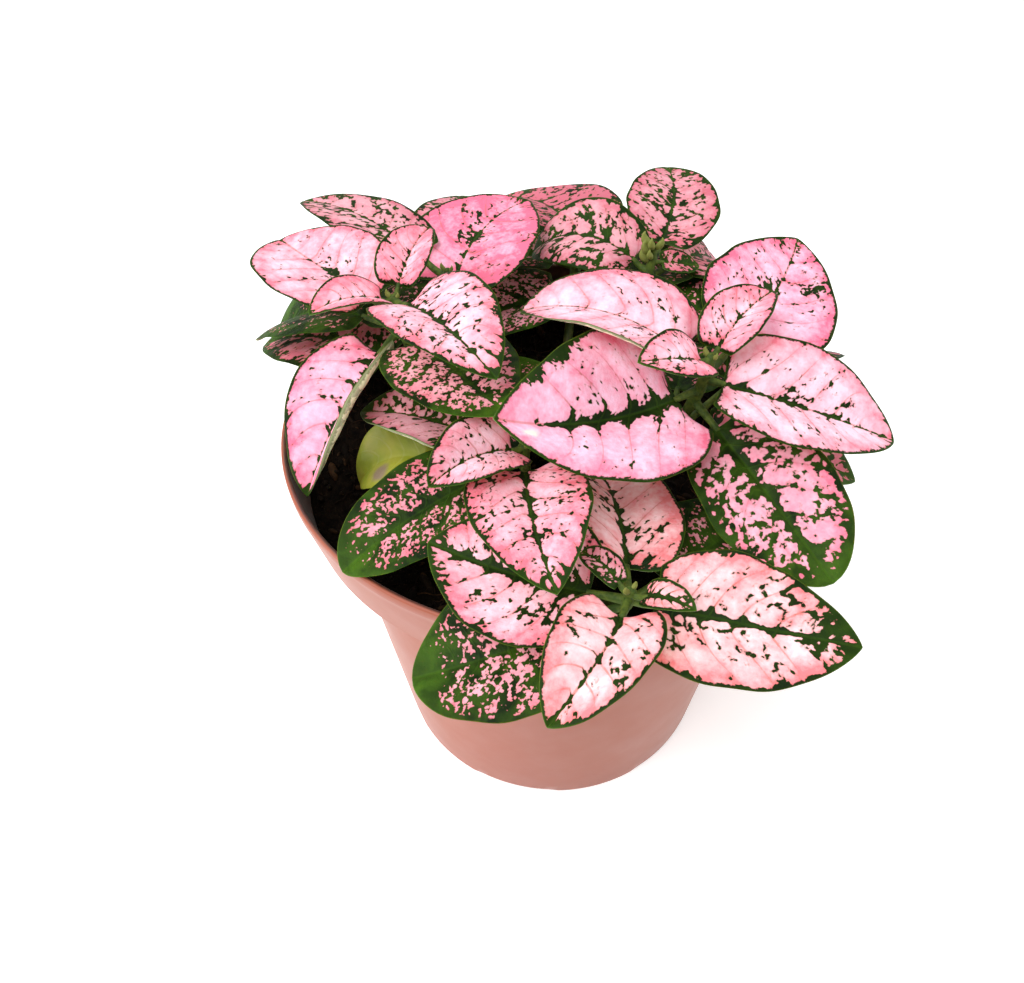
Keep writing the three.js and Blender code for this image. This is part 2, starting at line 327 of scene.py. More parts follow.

# %% [markdown]
# ## The pot
#
# A nursery pot is injection moulded from thin coloured plastic: a tapered cup, a wider collar that
# stiffens the mouth, a small rolled lip, drain holes in the floor and shallow gaps between its feet.
# A lathe profile gives the cup. The gaps are made by lifting part of the bottom edge, and the drain
# holes are cut with a boolean, because a floor with round holes is awkward to draw face by face.
# Inside the mouth, the wall and the inner half of the lip are painted dark: painted shade.

# %% Pot sizes
pot_low, pot_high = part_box("pot")
RIM_RADIUS = (pot_high[0] - pot_low[0]) / 2
POT_HEIGHT = pot_high[2] - pot_low[2]
BASE_RADIUS, SHOULDER_RADIUS, COLLAR_RADIUS = 41.5 * MM, 50.5 * MM, 57 * MM
COLLAR_HEIGHT, WALL, FLOOR = 16 * MM, 1.2 * MM, 2 * MM
SHOULDER = POT_HEIGHT - COLLAR_HEIGHT
NOTCHES, NOTCH_SWING, NOTCH_START = 6, 30, -121
NOTCH_DEPTH, NOTCH_REACH = 1 * MM, 6 * MM
DRAIN_RADIUS, DRAIN_RING = 4 * MM, 29 * MM
print("pot: rim", round(2 * RIM_RADIUS / MM), "mm across,", round(POT_HEIGHT / MM), "mm high")

# %% Pot plastic
CLAY, LIGHT_CLAY, INNER_WALL_SHADE = (0.288, 0.063, 0.027, 1), (0.31, 0.075, 0.034, 1), (0.03, 0.009, 0.006, 1)
plastic, nodes, shader = new_material("pot_plastic")
where = nodes.where()
cloudy = nodes.noise(where, 28.0, 3.0, 0.55)
tint = nodes.mix(nodes.ramp(cloudy, 0.35, 0.65), CLAY, LIGHT_CLAY)
px, py, pz = nodes.add("ShaderNodeSeparateXYZ", {0: where}).outputs
radius = nodes.math("SQRT", nodes.plus(nodes.times(px, px), nodes.times(py, py)))
rim_slope = (RIM_RADIUS - COLLAR_RADIUS) / COLLAR_HEIGHT
outer = nodes.math("MULTIPLY_ADD", pz, rim_slope, COLLAR_RADIUS - SHOULDER * rim_slope - 0.4 * MM)
# Painted shade: above the ledge, the wall inside the mouth and the lip's inner half are darkened in
# patches, as if in shadow.
inside = nodes.ramp(nodes.minus(outer, radius), 0.0, 0.3 * MM)
above_ledge = nodes.ramp(pz, SHOULDER + WALL, SHOULDER + 2 * WALL)
painted_inner_shade = nodes.times(inside, above_ledge)
painted_inner_shade = nodes.times(painted_inner_shade, nodes.ramp(nodes.noise(where, 160.0, 3.0, 0.6), 0.3, 0.7, 0.65, 1.0))
grain = nodes.noise(where, 2600.0, 2.0, 0.6)
smudge = nodes.noise(where, 60.0, 3.0, 0.6)
nodes.put(shader, {
    "Base Color": nodes.mix(painted_inner_shade, tint, INNER_WALL_SHADE),
    "Roughness": nodes.ramp(smudge, 0.3, 0.7, 0.42, 0.56),
    "Normal": nodes.bump(grain, 0.06, 0.2 * MM),
    "Sheen Weight": 0.2, "Sheen Roughness": 0.32,
    **glow_inside(0.12, (1.0, 0.45, 0.3), 2 * MM)})
print("plastic nodes:", len(plastic.node_tree.nodes))


# %% Pot mesh
def arc(centre, radius, start, end, steps):
    """Points of a round corner in the profile, from start to end degrees."""
    angles = [math.radians(start + (end - start) * i / steps) for i in range(steps + 1)]
    return [(centre[0] + radius * math.cos(a), centre[1] + radius * math.sin(a)) for a in angles]


def straight(a, b, steps):
    return [(a[0] + (b[0] - a[0]) * i / steps, a[1] + (b[1] - a[1]) * i / steps) for i in range(1, steps)]


def inner_radius(height):
    if height < SHOULDER:
        return BASE_RADIUS + (SHOULDER_RADIUS - BASE_RADIUS) * height / SHOULDER - WALL
    return COLLAR_RADIUS + (RIM_RADIUS - COLLAR_RADIUS) * (height - SHOULDER) / COLLAR_HEIGHT - WALL


ROUND, LIP_ROUND, FILLET = 0.45 * MM, 0.5 * MM, 1 * MM
lip_foot, lip_low, lip_top = RIM_RADIUS - 0.2 * MM, POT_HEIGHT - 2.5 * MM, POT_HEIGHT - LIP_ROUND
ledge, foot = SHOULDER + WALL, (BASE_RADIUS - NOTCH_REACH, 0.0)
collar_wall, cup_wall, floor_wall = inner_radius(ledge), inner_radius(SHOULDER - WALL), inner_radius(FLOOR)
profile = [(0.0, 0.0), (0.4 * BASE_RADIUS, 0.0), (DRAIN_RING, 0.0), foot]
profile += straight(foot, (BASE_RADIUS - ROUND, 0.0), 6)
profile += arc((BASE_RADIUS - ROUND, ROUND), ROUND, -90, 0, 5)
profile += straight((BASE_RADIUS, ROUND), (SHOULDER_RADIUS, SHOULDER - ROUND), 24)
profile += [(SHOULDER_RADIUS, SHOULDER - 1.2 * ROUND)]
profile += [(SHOULDER_RADIUS + 0.4 * ROUND, SHOULDER - 0.2 * ROUND)]
profile += [(SHOULDER_RADIUS + 1.4 * ROUND, SHOULDER)]
profile += arc((COLLAR_RADIUS - ROUND, SHOULDER + ROUND), ROUND, -90, 0, 5)
profile += straight((COLLAR_RADIUS, SHOULDER + ROUND), (lip_foot, lip_low), 8)
profile += [(lip_foot, lip_low), (lip_foot + 0.1 * MM, lip_low + 0.25 * MM)]
profile += arc((RIM_RADIUS - LIP_ROUND, lip_top), LIP_ROUND, 0, 90, 6)
profile += arc((RIM_RADIUS - WALL + LIP_ROUND, lip_top), LIP_ROUND, 90, 180, 5)
profile += straight((RIM_RADIUS - WALL, POT_HEIGHT - 2 * MM), (collar_wall, ledge + ROUND), 8)
profile += [(collar_wall, ledge + ROUND), (collar_wall - ROUND, ledge)]
profile += [(cup_wall + ROUND, ledge), (cup_wall, ledge - ROUND)]
profile += straight((cup_wall, ledge - ROUND), (floor_wall, FLOOR + FILLET), 12)
profile += [(floor_wall, FLOOR + FILLET), (floor_wall - FILLET, FLOOR), (DRAIN_RING, FLOOR)]
profile += [(0.4 * BASE_RADIUS, FLOOR), (0.0, FLOOR)]
print("profile points:", len(profile))

# %% Turn the profile and lift the gaps
TURNS, SHARP_ANGLE = 180, 40
NOTCH_EASE, NOTCH_LIFT = 1.5, 0.98
rings = [level_ring(radius, height, TURNS) for radius, height in profile[1:-1]]
pot_points, pot_faces = closed_rings(rings, (0, 0, profile[0][1]), (0, 0, profile[-1][1]))
pot = make_object("plastic_pot", pot_points, pot_faces, plastic)
for vertex in pot.data.vertices:
    x, y, z = vertex.co
    out = math.hypot(x, y)
    if z < NOTCH_DEPTH and out > BASE_RADIUS - NOTCH_REACH - 0.1 * MM:
        turn = (math.degrees(math.atan2(y, x)) - NOTCH_START) % (360 / NOTCHES)
        from_end = min(turn, NOTCH_SWING - turn)
        past_foot = out - BASE_RADIUS + NOTCH_REACH
        share = min(max(from_end / NOTCH_EASE, 0.0), 1.0) * min(max(past_foot / (0.5 * MM), 0), 1)
        vertex.co.z = z + (NOTCH_DEPTH - z) * share * NOTCH_LIFT

cutter_points, cutter_faces = [], []
for i in range(NOTCHES):
    heading = math.radians(NOTCH_START + NOTCH_SWING / 2 + i * 360 / NOTCHES)
    cx, cy = DRAIN_RING * math.cos(heading), DRAIN_RING * math.sin(heading)
    tube_points, tube_faces = sweep([(cx, cy, -FLOOR), (cx, cy, 2 * FLOOR)], [DRAIN_RADIUS] * 2, 32)
    cutter_faces += shifted(tube_faces, len(cutter_points))
    cutter_points += [tuple(p) for p in tube_points]
cutter = make_object("drain_cutter", cutter_points, cutter_faces, plastic)
cut = pot.modifiers.new("drains", "BOOLEAN")
cut.object = cutter
cut.operation = "DIFFERENCE"
cut.solver = "EXACT"
finished = bpy.data.meshes.new_from_object(pot.evaluated_get(bpy.context.evaluated_depsgraph_get()))
pot.modifiers.clear()
pot.data = finished
bpy.data.objects.remove(cutter)
for polygon in pot.data.polygons:
    polygon.use_smooth = True
pot.data.set_sharp_from_angle(angle=math.radians(SHARP_ANGLE))
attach(pot, "root")
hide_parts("pot")
print("pot faces:", len(pot.data.polygons))

# %% [markdown]
# ## The soil
#
# Potting mix is nearly black when damp: fine crumbs, lumps a few millimetres across, brown fibres and
# slivers of bark. A sculpted height over a fine grid gives the crumbly bed, and many small separate
# bits scattered on it give the fibres and chips. The part inside the pot only has to fill it.

# %% Soil material
CRUMB_BLACK, CRUMB_BROWN = (0.0018, 0.0014, 0.0011, 1), (0.016, 0.0095, 0.006, 1)
DAMP_BROWN, BARK_AGED = (0.006, 0.0037, 0.0025, 1), (0.008, 0.005, 0.003, 1)
BARK_DARK, BARK_LIGHT = (0.004, 0.002, 0.0012, 1), (0.09, 0.04, 0.015, 1)
soil_mix, nodes, shader = new_material("potting_mix")
where = nodes.where()
crumb = nodes.noise(where, 420.0, 5.0, 0.65)
patch = nodes.noise(where, 90.0, 3.0, 0.6)
dark = nodes.mix(nodes.ramp(crumb, 0.4, 0.72), CRUMB_BLACK, CRUMB_BROWN)
nodes.put(shader, {
    "Base Color": nodes.mix(nodes.ramp(patch, 0.52, 0.7), dark, DAMP_BROWN),
    "Roughness": nodes.ramp(crumb, 0.3, 0.7, 0.75, 0.95), "Specular IOR Level": 0.05,
    "Normal": nodes.bump(crumb, 0.7, 1.2 * MM)})

bark, nodes, shader = new_material("bark_and_fibre")
brown = nodes.mix(nodes.facts("bit_tone")[0], BARK_DARK, BARK_LIGHT)
streak = nodes.noise(nodes.where(), 700.0, 3.0, 0.6)
nodes.put(shader, {
    "Base Color": nodes.mix(nodes.ramp(streak, 0.35, 0.75), brown, BARK_AGED),
    "Roughness": 0.8, "Specular IOR Level": 0.1,
    "Normal": nodes.bump(streak, 0.5, 0.3 * MM)})
print("soil materials: 2")

# %% Soil bed
SOIL_EDGE, SOIL_CROWN = 84 * MM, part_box("soil")[1][2]
SOIL_GAP = 0.3 * MM
RINGS, TURNS_SOIL = 110, 300


def soil_height(x, y):
    """How high the bed lies: a low mound, lumps and crumbs."""
    out = math.hypot(x, y) / RIM_RADIUS
    level = SOIL_EDGE + (SOIL_CROWN - SOIL_EDGE) * max(0.0, 1 - out ** 1.6)
    lump = noise.fractal(Vector((x, y, 0)) / (7 * MM), 0.9, 2.1, 3)
    crumbs = noise.turbulence(Vector((x, y, 3)) / (2.2 * MM), 3, False)
    return level - 1.2 * MM + 0.9 * MM * lump + 1.3 * MM * crumbs


edge_radius = inner_radius(SOIL_EDGE) - SOIL_GAP
rings = []
for r in range(1, RINGS + 1):
    ring = level_ring(edge_radius * r / RINGS, 0, TURNS_SOIL)
    rings.append([(x, y, soil_height(x, y)) for x, y, _ in ring])
for radius, height in [(collar_wall - SOIL_GAP, ledge + SOIL_GAP), (cup_wall - SOIL_GAP, ledge + SOIL_GAP),
                       (floor_wall - SOIL_GAP - FILLET, FLOOR + SOIL_GAP)]:
    rings.append(level_ring(radius, height, TURNS_SOIL))
bed_points, bed_faces = closed_rings(rings, (0, 0, soil_height(0, 0)), (0, 0, FLOOR + SOIL_GAP))
bed = make_object("soil_bed", bed_points, [face[::-1] for face in bed_faces], soil_mix)
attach(bed, "root")
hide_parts("soil")
print("soil bed faces:", len(bed_faces))

# %% Soil bits
CHIPS, FIBRES = 1500, 420
chance = random.Random(11)
bit_points, bit_faces, bit_tones = [], [], []


def add_bit(points, faces, tone):
    bit_faces.extend(shifted(faces, len(bit_points)))
    bit_points.extend(tuple(p) for p in points)
    bit_tones.extend([(tone, 0, 0)] * len(points))


def spot_in_pot():
    a = chance.uniform(0, 2 * math.pi)
    out = math.sqrt(chance.random()) * (edge_radius - 2 * MM)
    return out * math.cos(a), out * math.sin(a)


for _ in range(CHIPS):
    x, y = spot_in_pot()
    size = chance.choice([0.5, 0.7, 0.9, 1.2, 1.7]) * MM * chance.uniform(0.7, 1.2)
    stretch = chance.uniform(1.0, 2.6)
    a = chance.uniform(0, math.pi)
    tilt = chance.uniform(-0.5, 0.5)
    ahead = np.array([math.cos(a), math.sin(a), tilt])
    middle = np.array([x, y, soil_height(x, y) + 0.15 * size])
    path = [middle + ahead * size * stretch * s for s in (-0.5, -0.32, 0.05, 0.36, 0.5)]
    radii = [size * w * chance.uniform(0.75, 1.2) for w in (0.16, 0.42, 0.5, 0.38, 0.12)]
    add_bit(*sweep(path, radii, 6), chance.random() ** 5 * 0.7)
for _ in range(FIBRES):
    x, y = spot_in_pot()
    a = chance.uniform(0, 2 * math.pi)
    reach = chance.uniform(3, 11) * MM
    curl = chance.uniform(-2.2, 2.2)
    path = []
    for s in range(9):
        turn = a + curl * s / 8
        path.append(np.array([x, y, soil_height(x, y) + chance.uniform(0.05, 0.5) * MM]))
        x, y = x + reach / 8 * math.cos(turn), y + reach / 8 * math.sin(turn)
    if math.hypot(x, y) < edge_radius - 1 * MM:
        width = chance.uniform(0.06, 0.17) * MM
        radii = [width * (0.5 + 0.5 * math.sin(math.pi * (s + 0.6) / 9.2)) for s in range(9)]
        add_bit(*sweep(path, radii, 5), 0.1 + 0.7 * chance.random() ** 2)
bits = make_object("soil_bits", bit_points, bit_faces, bark)
carry(bits, "bit_tone", bit_tones)
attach(bits, "root")
print("soil bits:", len(bit_faces), "faces")

# %% [markdown]
# ## The planting plan
#
# Every stem and leaf has its place. On the real plant the leaves stand in opposite pairs and each pair
# is turned from the next. The plan is the frame's own, written again here: a stem has the place of its
# root end and its tip, and a leaf has one row. The plan keeps each leaf where the frame has it.

# %% Stems and leaves, in millimetres and degrees
# For each stem: its root end (x, y), its tip (x, y, z), and a row for each leaf. A row says how far below
# the tip the leaf stands, its heading, the length of its petiole, its length and width, and then, in
# degrees, how it slopes at its base and at its tip, its roll, its sweep sideways and its fold.
PLAN = {
    "left": ((-14, 4), (-34, 8, 121), [
        (1, 72, 2, 17, 12, 40, -5, 0, -10, 25),
        (1, -145, 1, 17, 11, 40, -20, -5, -5, 20),
        (4, 148, 5, 32, 28, 15, -3, 0, -20, 10),
        (1, -60, 6, 34, 22, 25, -15, 5, 5, 20),
        (8, 145, 9, 37, 26, -5, -45, -10, 5, 15),
        (20, 150, 9, 38, 24, 10, -35, -5, 5, 5),
        (8, -125, 6, 34, 21, -15, -45, 15, 10, 30),
        (5, -60, 10, 32, 25, 5, 5, 5, 5, 5),
        (15, 110, 10, 37, 24, 5, -25, 5, 0, 10),
    ]),
    "right": ((12, -2), (27, -17, 123), [
        (1, 50, 1, 18, 12, 35, -5, 0, -10, 25),
        (1, -142, 1, 16, 12, 35, 5, -15, -20, 15),
        (4, 155, 4, 34, 24, 35, -25, 0, 10, 15),
        (6, -20, 2, 35, 24, -5, -25, 15, 15, 20),
        (9, -150, 4, 40, 31, 0, 30, -25, -10, 20),
        (5, 50, 11, 37, 28, 5, 5, 20, 20, 5),
        (12, -60, 6, 36, 25, -15, -20, 15, 0, 10),
        (22, -18, 6, 31, 22, 10, -30, 0, 0, 10),
        (21, 32, 14, 31, 23, 20, -40, -5, -5, 20),
        (24, 75, 13, 38, 25, 0, -40, 0, 0, 10),
    ]),
    "front": ((6, -34), (9, -58, 106), [
        (2, 130, 1, 9, 6, 35, -15, 0, 10, 15),
        (1, -40, 2, 10, 6, 45, 0, 15, 0, 20),
        (2, -110, 4, 24, 17, 20, -30, 0, -30, 25),
        (5, 85, 6, 38, 22, -5, -20, 10, 20, 20),
        (3, -25, 3, 33, 24, 10, 0, 15, 10, 5),
        (4, 165, 5, 30, 27, 0, 10, -15, -10, 10),
        (6, -160, 6, 32, 26, -10, -20, -10, -20, 10),
        (12, 40, 10, 35, 23, -5, -10, 0, 0, 10),
    ]),
    "middle": ((-5, -8), (-8, -26, 110), [
        (1, -145, 1, 20, 14, 35, -20, -15, 5, 25),
        (3, -90, 4, 33, 22, 15, 0, 5, 15, 15),
        (5, -155, 5, 34, 23, -5, -25, 0, 10, 10),
        (6, 150, 5, 31, 22, 14, -18, 0, 10, 15),
        (18, 165, 20, 20, 16, 10, -70, -20, 15, 20),
        (17, 90, 9, 37, 25, 0, -10, 0, 5, 10),
        (2, 30, 1, 16, 11, 25, 0, 0, 0, 15),
    ]),
    "back_right": ((12, 14), (24, 37, 114), [
        (4, 65, 6, 34, 23, 15, -5, 5, 30, 5),
        (4, 8, 1, 10, 8, -8, -20, 15, 5, 10),
        (6, 152, 3, 30, 22, 35, -55, -15, 0, 10),
        (7, 46, 9, 39, 27, -6, -65, 15, 5, 10),
        (10, 58, 3, 22, 17, 0, -25, 0, 0, 10),
        (15, 0, 8, 34, 24, 5, -25, 0, 0, 10),
        (14, 64, 11, 35, 24, -4, -45, 0, 0, 10),
    ]),
    "back_left": ((-9, 15), (-24, 29, 114), [
        (5, 75, 1, 38, 31, 20, -10, 0, -30, 5),
        (2, 140, 9, 37, 24, 20, -15, 10, 5, 5),
        (8, 90, 13, 34, 23, 15, -20, 0, 0, 5),
        (14, 165, 9, 37, 24, 5, -45, 0, 0, 10),
        (16, 115, 13, 40, 26, 5, -50, -5, 0, 10),
    ]),
    "back": ((2, 22), (7, 50, 108), [
        (1, 95, 6, 46, 34, -5, -22, 5, 38, 10),
        (12, -162, 2, 37, 27, 3, -28, 0, 0, 10),
        (9, 76, 8, 36, 23, 5, -40, 0, 0, 10),
        (6, 150, 4, 30, 23, 1, -32, 0, -10, 10),
    ]),
}
print("stems:", len(PLAN), "leaves:", sum(len(stem[2]) for stem in PLAN.values()))

# %% [markdown]
# ## Stems
#
# The stems are soft and green, a little swollen where a pair of leaves joins, browner near the soil.
# They lean most at the foot, because each grows out towards the light and then up. A ring swept along
# the same line as in the frame gives the shape, and a bud of tiny folded leaves closes each tip.

# %% Stem line
SOIL_DEPTH = 8 * MM
STEM_RADIUS = 1.3 * MM
STEM_LEAN = 1.7


class StemLine:
    """The curve of a stem: t runs evenly with height from the root end to the tip."""

    def __init__(self, root, tip):
        self.root = np.array([root[0] * MM, root[1] * MM, SOIL_EDGE - SOIL_DEPTH])
        self.tip = np.array(tip, float) * MM

    def point(self, t):
        lean = 1 - (1 - t) ** STEM_LEAN
        across = self.root[:2] + (self.tip[:2] - self.root[:2]) * lean
        return np.array([across[0], across[1], self.root[2] + (self.tip[2] - self.root[2]) * t])

    def ahead(self, t):
        step = 1e-3
        return unit(self.point(min(t + step, 1.0)) - self.point(max(t - step, 0.0)))

    def at_drop(self, drop):
        return 1 - drop * MM / (self.tip[2] - self.root[2])


LINES = {name: StemLine(stem[0], stem[1]) for name, stem in PLAN.items()}
longest = max(np.linalg.norm(line.tip - line.root) for line in LINES.values())
print("longest stem:", round(longest / MM), "mm")

# %% Stem material
YOUNG_DARK, YOUNG_LIGHT = (0.035, 0.065, 0.008, 1), (0.1, 0.14, 0.018, 1)
OLD_DARK, OLD_LIGHT, BUD_GREEN = (0.035, 0.04, 0.015, 1), (0.08, 0.05, 0.025, 1), (0.2, 0.22, 0.05, 1)
stem_skin, nodes, shader = new_material("stem_skin")
height, bud = nodes.facts("stem_place")[:2]
mottle = nodes.noise(nodes.where(), 500.0, 3.0, 0.6)
young = nodes.mix(nodes.ramp(mottle, 0.35, 0.7), YOUNG_DARK, YOUNG_LIGHT)
old = nodes.mix(nodes.ramp(mottle, 0.4, 0.7), OLD_DARK, OLD_LIGHT)
green = nodes.mix(nodes.ramp(height, 0.15, 0.7), old, young)
nodes.put(shader, {
    "Base Color": nodes.mix(bud, green, BUD_GREEN),
    "Roughness": 0.6, "Specular IOR Level": 0.2,
    "Normal": nodes.bump(mottle, 0.3, 0.3 * MM),
    **glow_inside(0.2, (0.6, 1.0, 0.3), 0.8 * MM)})
print("stem material is ready")

# %% Stem meshes
STEM_STEPS, STEM_SIDES = 48, 16
STEM_TAPER, JOINT_SWELL, JOINT_REACH, END_PINCH = 0.25, 0.12, 0.03, 0.6
BUD_LENGTHS, BUD_GIRTH = (2.8, 2.3), 0.2
BUD_SIZES = {"back_right": 1.8}
# More scales lower down: drop below the tip, heading, length in millimetres.
SIDE_BUDS = {"back_right": [(0.5, -115, 4.5), (2, -160, 5), (3, -120, 4), (4, -170, 5)]}
BUD_WIDTHS = [0.35, 0.75, 1.0, 0.95, 0.7, 0.4, 0.12]


def bud_scale(base, ahead, turn, length):
    """One tiny folded leaf of the bud: a ring swept up and outward, fat in the middle."""
    level = np.array([math.cos(turn), math.sin(turn), 0.0])
    path, radii = [], []
    for i, width in enumerate(BUD_WIDTHS):
        s = i / (len(BUD_WIDTHS) - 1)
        path.append(base + ahead * length * s * 0.8 + level * length * (0.1 + 0.4 * math.sin(2.0 * s)))
        radii.append(BUD_GIRTH * length * width)
    return sweep(path, radii, STEM_SIDES)


for name, (_, _, leaves) in PLAN.items():
    line = LINES[name]
    joints = [line.at_drop(row[0]) for row in leaves]
    path, radii = [], []
    for i in range(STEM_STEPS + 1):
        t = i / STEM_STEPS
        swell = max(math.exp(-((t - joint) / JOINT_REACH) ** 2) for joint in joints)
        path.append(line.point(t))
        narrow = END_PINCH if i in (0, STEM_STEPS) else 1
        radii.append(STEM_RADIUS * (1.0 - STEM_TAPER * t + JOINT_SWELL * swell) * narrow)
    points, faces = sweep(path, radii, STEM_SIDES)
    points, stem_points = list(points), len(points)
    first_turn = math.radians(leaves[0][1] + 90)
    bud_size = BUD_SIZES.get(name, 1.0)
    buds = [(path[-2], first_turn + i * math.pi, length * bud_size) for i, length in enumerate(BUD_LENGTHS)]
    for drop, turn, length in SIDE_BUDS.get(name, []):
        buds.append((line.point(line.at_drop(drop)), math.radians(turn), length))
    for foot, turn, length in buds:
        scale_points, scale_faces = bud_scale(foot, line.ahead(1.0), turn, length * MM)
        faces += shifted(scale_faces, len(points))
        points += list(scale_points)
    points = np.array(points)
    stem = make_object(name + "_stalk", points, faces, stem_skin)
    place = np.zeros((len(points), 3))
    place[:, 0] = (points[:, 2] - line.root[2]) / (line.tip[2] - line.root[2])
    place[stem_points:, 1] = 1
    carry(stem, "stem_place", place)
    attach(stem, "root")
    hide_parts(name + "_stem")
print("stems made:", len(PLAN))

# %% [markdown]
# ## The shape of a leaf
#
# A leaf of this plant is a thin oval blade on a short stalk. Its base lobes reach back, its tip is
# pointed, and the side veins arch forward from the midrib with the blade puffed up between them. It
# could be a flat card with a picture on it, but then it has no relief from the side. Here it is a
# closed grid: one surface on top, one below, with the midrib and side veins pressed in.

# %% Leaf outline and veins
ROUND_BASE, POINTED_TIP, LOBE = 0.45, 0.78, 0.1
VEINS, VEIN_START, VEIN_REACH = 6.0, 0.35, 0.36
BLADE_STEPS, FULL_LENGTH = 56, 36 * MM
ACROSS = [0, 0.03, 0.08, 0.15, 0.25, 0.35, 0.45, 0.55, 0.65, 0.74, 0.82, 0.89, 0.94, 0.975, 1.0]
# One row of points across the blade: -1 and 1 are its margins, 0 its midrib.
ROW = np.array([-a for a in ACROSS[:0:-1]] + ACROSS)
OUT, SIGN = np.abs(ROW), np.sign(ROW)
# How the edges curl: degrees at the left and at the right, and how far out the curl starts.
FLAT = (0, 0, 0.6)


def blade_shape(t, pointed):
    """Half-width at t, 1 at the widest place."""
    widest = ROUND_BASE / (ROUND_BASE + pointed)
    at_widest = widest ** ROUND_BASE * (1 - widest) ** pointed
    return t ** ROUND_BASE * (1 - t) ** pointed / at_widest


def vein_count(t, a):
    """A number that is whole on each side vein and runs evenly between them."""
    return VEINS * (t - VEIN_REACH * a ** 1.3 * (1 - 0.5 * t)) + VEIN_START


def turned_about(v, axis, angle):
    return (v * math.cos(angle) + np.cross(axis, v) * math.sin(angle)
            + axis * axis.dot(v) * (1 - math.cos(angle)))


def leaf_frame(heading, slope, roll):
    flat = math.cos(slope)
    along = np.array([math.cos(heading) * flat, math.sin(heading) * flat, math.sin(slope)])
    level = np.array([-math.sin(heading), math.cos(heading), 0.0])
    side = turned_about(level, along, roll)
    return along, side, np.cross(along, side)


def blend_numbers(a, b, t):
    return a + (b - a) * t


print("widest at", round(ROUND_BASE / (ROUND_BASE + POINTED_TIP), 2), "of the blade's length")


# %% Relief of one row across the blade
PUFF, RIPPLE, RIB_SPREAD = 0.3 * MM, 0.7 * MM, 0.55 * MM


def margin_wave(t, first, second):
    return 1 + 0.018 * math.sin(9 * t + first) + 0.012 * math.sin(23 * t + second)


def long_wave(t, first, second):
    return math.sin(5.2 * t + first) * 0.5 + math.sin(11 * t + second) * 0.3


def veins_along(t, phase):
    """The vein count across the row, with each side's veins straying a little their own way."""
    left = 0.16 * np.sin(7 * t + 2.5 * OUT + phase[5])
    right = 0.28 + 0.16 * np.sin(8 * t + 2 * OUT + phase[7])
    return vein_count(t, OUT) + np.where(SIGN > 0, left, right) * np.clip(OUT * 8, 0, 1)


def relief(t, half, fold, size, phase, veins, open_up):
    """How far the row is raised: by the fold, the puffs between the veins and the waves of the margin."""
    crease = np.sqrt(OUT * OUT + 0.0016) - 0.04
    raised = half * math.tan(fold) * open_up * (1.7 * crease - 0.7 * crease * crease)
    puff = np.abs(np.sin(math.pi * veins)) ** 0.8
    inward = np.clip(OUT * 5, 0, 1) * np.clip((1 - OUT) * 3.2, 0, 1)
    inward = inward * math.sin(math.pi * min(max(t, 0.02), 0.98)) ** 0.6
    raised = raised + PUFF * size * (puff - 0.5) * inward
    waves = np.where(SIGN > 0, long_wave(t, phase[4], phase[5]), long_wave(t, phase[6], phase[7]))
    return raised + RIPPLE * size * OUT ** 2 * waves * min(1, 6 * t) * min(1, 5 * (1 - t))


def curl_edges(t, curl, half, raised, offset):
    """Rolls the margins over an arc; also returns how far the row's surface has turned."""
    bend = np.zeros_like(OUT)
    swell = math.sin(math.pi * min(max(t, 0.0), 1.0)) ** 0.6
    for most, own in zip(curl[:2], (SIGN > 0, SIGN < 0)):
        if most and swell > 0:
            outer = np.clip((OUT - curl[2]) / (1 - curl[2]), 0, 1) * own
            whole = math.radians(most) * swell
            arm = (1 - curl[2]) * half / whole
            bend = bend + whole * outer
            raised = raised + arm * (1 - np.cos(whole * outer))
            offset = offset - SIGN * ((OUT - curl[2]) * half * (outer > 0) - arm * np.sin(whole * outer))
    return raised, offset, bend


print("points in one row:", len(ROW))


# %% Edges and faces of a blade
STALK_STEPS, STALK_SIDES = 10, 10


def edge_distance(spots):
    """How far each point of the flat blade is from its outline."""
    outline = np.concatenate([spots[:, 0], spots[::-1, -1]])
    flat = spots.reshape(-1, 2)
    near = np.full(len(flat), 1.0)
    for p, q in zip(outline[:-1], outline[1:]):
        step = q - p
        s = np.clip(((flat - p) @ step) / max(step.dot(step), 1e-12), 0, 1)
        near = np.minimum(near, np.linalg.norm(flat - p - s[:, None] * step, axis=1))
    return near


def blade_faces(rows, columns):
    """Faces on top and below; both surfaces share the points of the two margins."""
    def low(r, c):
        if c in (0, columns - 1):
            return r * columns + c
        return rows * columns + r * (columns - 2) + c - 1

    faces = grid_faces(rows, columns, False)
    for r in range(rows - 1):
        for c in range(columns - 1):
            faces.append((low(r, c), low(r + 1, c), low(r + 1, c + 1), low(r, c + 1)))
    for r, turn_back in ((0, True), (rows - 1, False)):
        for c in range(columns - 1):
            end = [r * columns + c, r * columns + c + 1, low(r, c + 1), low(r, c)]
            end = list(dict.fromkeys(end))
            faces.append(tuple(end[::-1] if turn_back else end))
    return faces


def stalk_path(seat, outward, base, centre, petiole):
    """A smooth line from the stem's middle to the foot of the blade."""
    start = seat - outward * STEM_RADIUS
    end = centre + base[0] * 0.6 * MM
    handle_a = start + outward * (STEM_RADIUS + 0.3 * petiole)
    handle_b = end - base[0] * (0.4 * petiole + 0.6 * MM)
    path = []
    for i in range(STALK_STEPS + 1):
        s = i / STALK_STEPS
        path.append((1 - s) ** 3 * start + 3 * (1 - s) ** 2 * s * handle_a
                    + 3 * (1 - s) * s * s * handle_b + s ** 3 * end)
    return np.array(path)


print("faces of one blade:", len(blade_faces(BLADE_STEPS + 1, len(ROW))))

# %% Leaf mesh
BASE_THICK, TIP_THICK, GROOVE, KEEL = 0.2, 0.12, 0.22 * MM, 0.34 * MM
BASE_HALF, TIP_HALF, TIP_PINCH = 0.55 * MM, 0.1 * MM, 0.6
STALK_THICK, STALK_THIN, STEM_GAP = 0.95, 0.6, 0.3 * MM
FULL_TURN, SEED_STEP = 6.28, 7.3


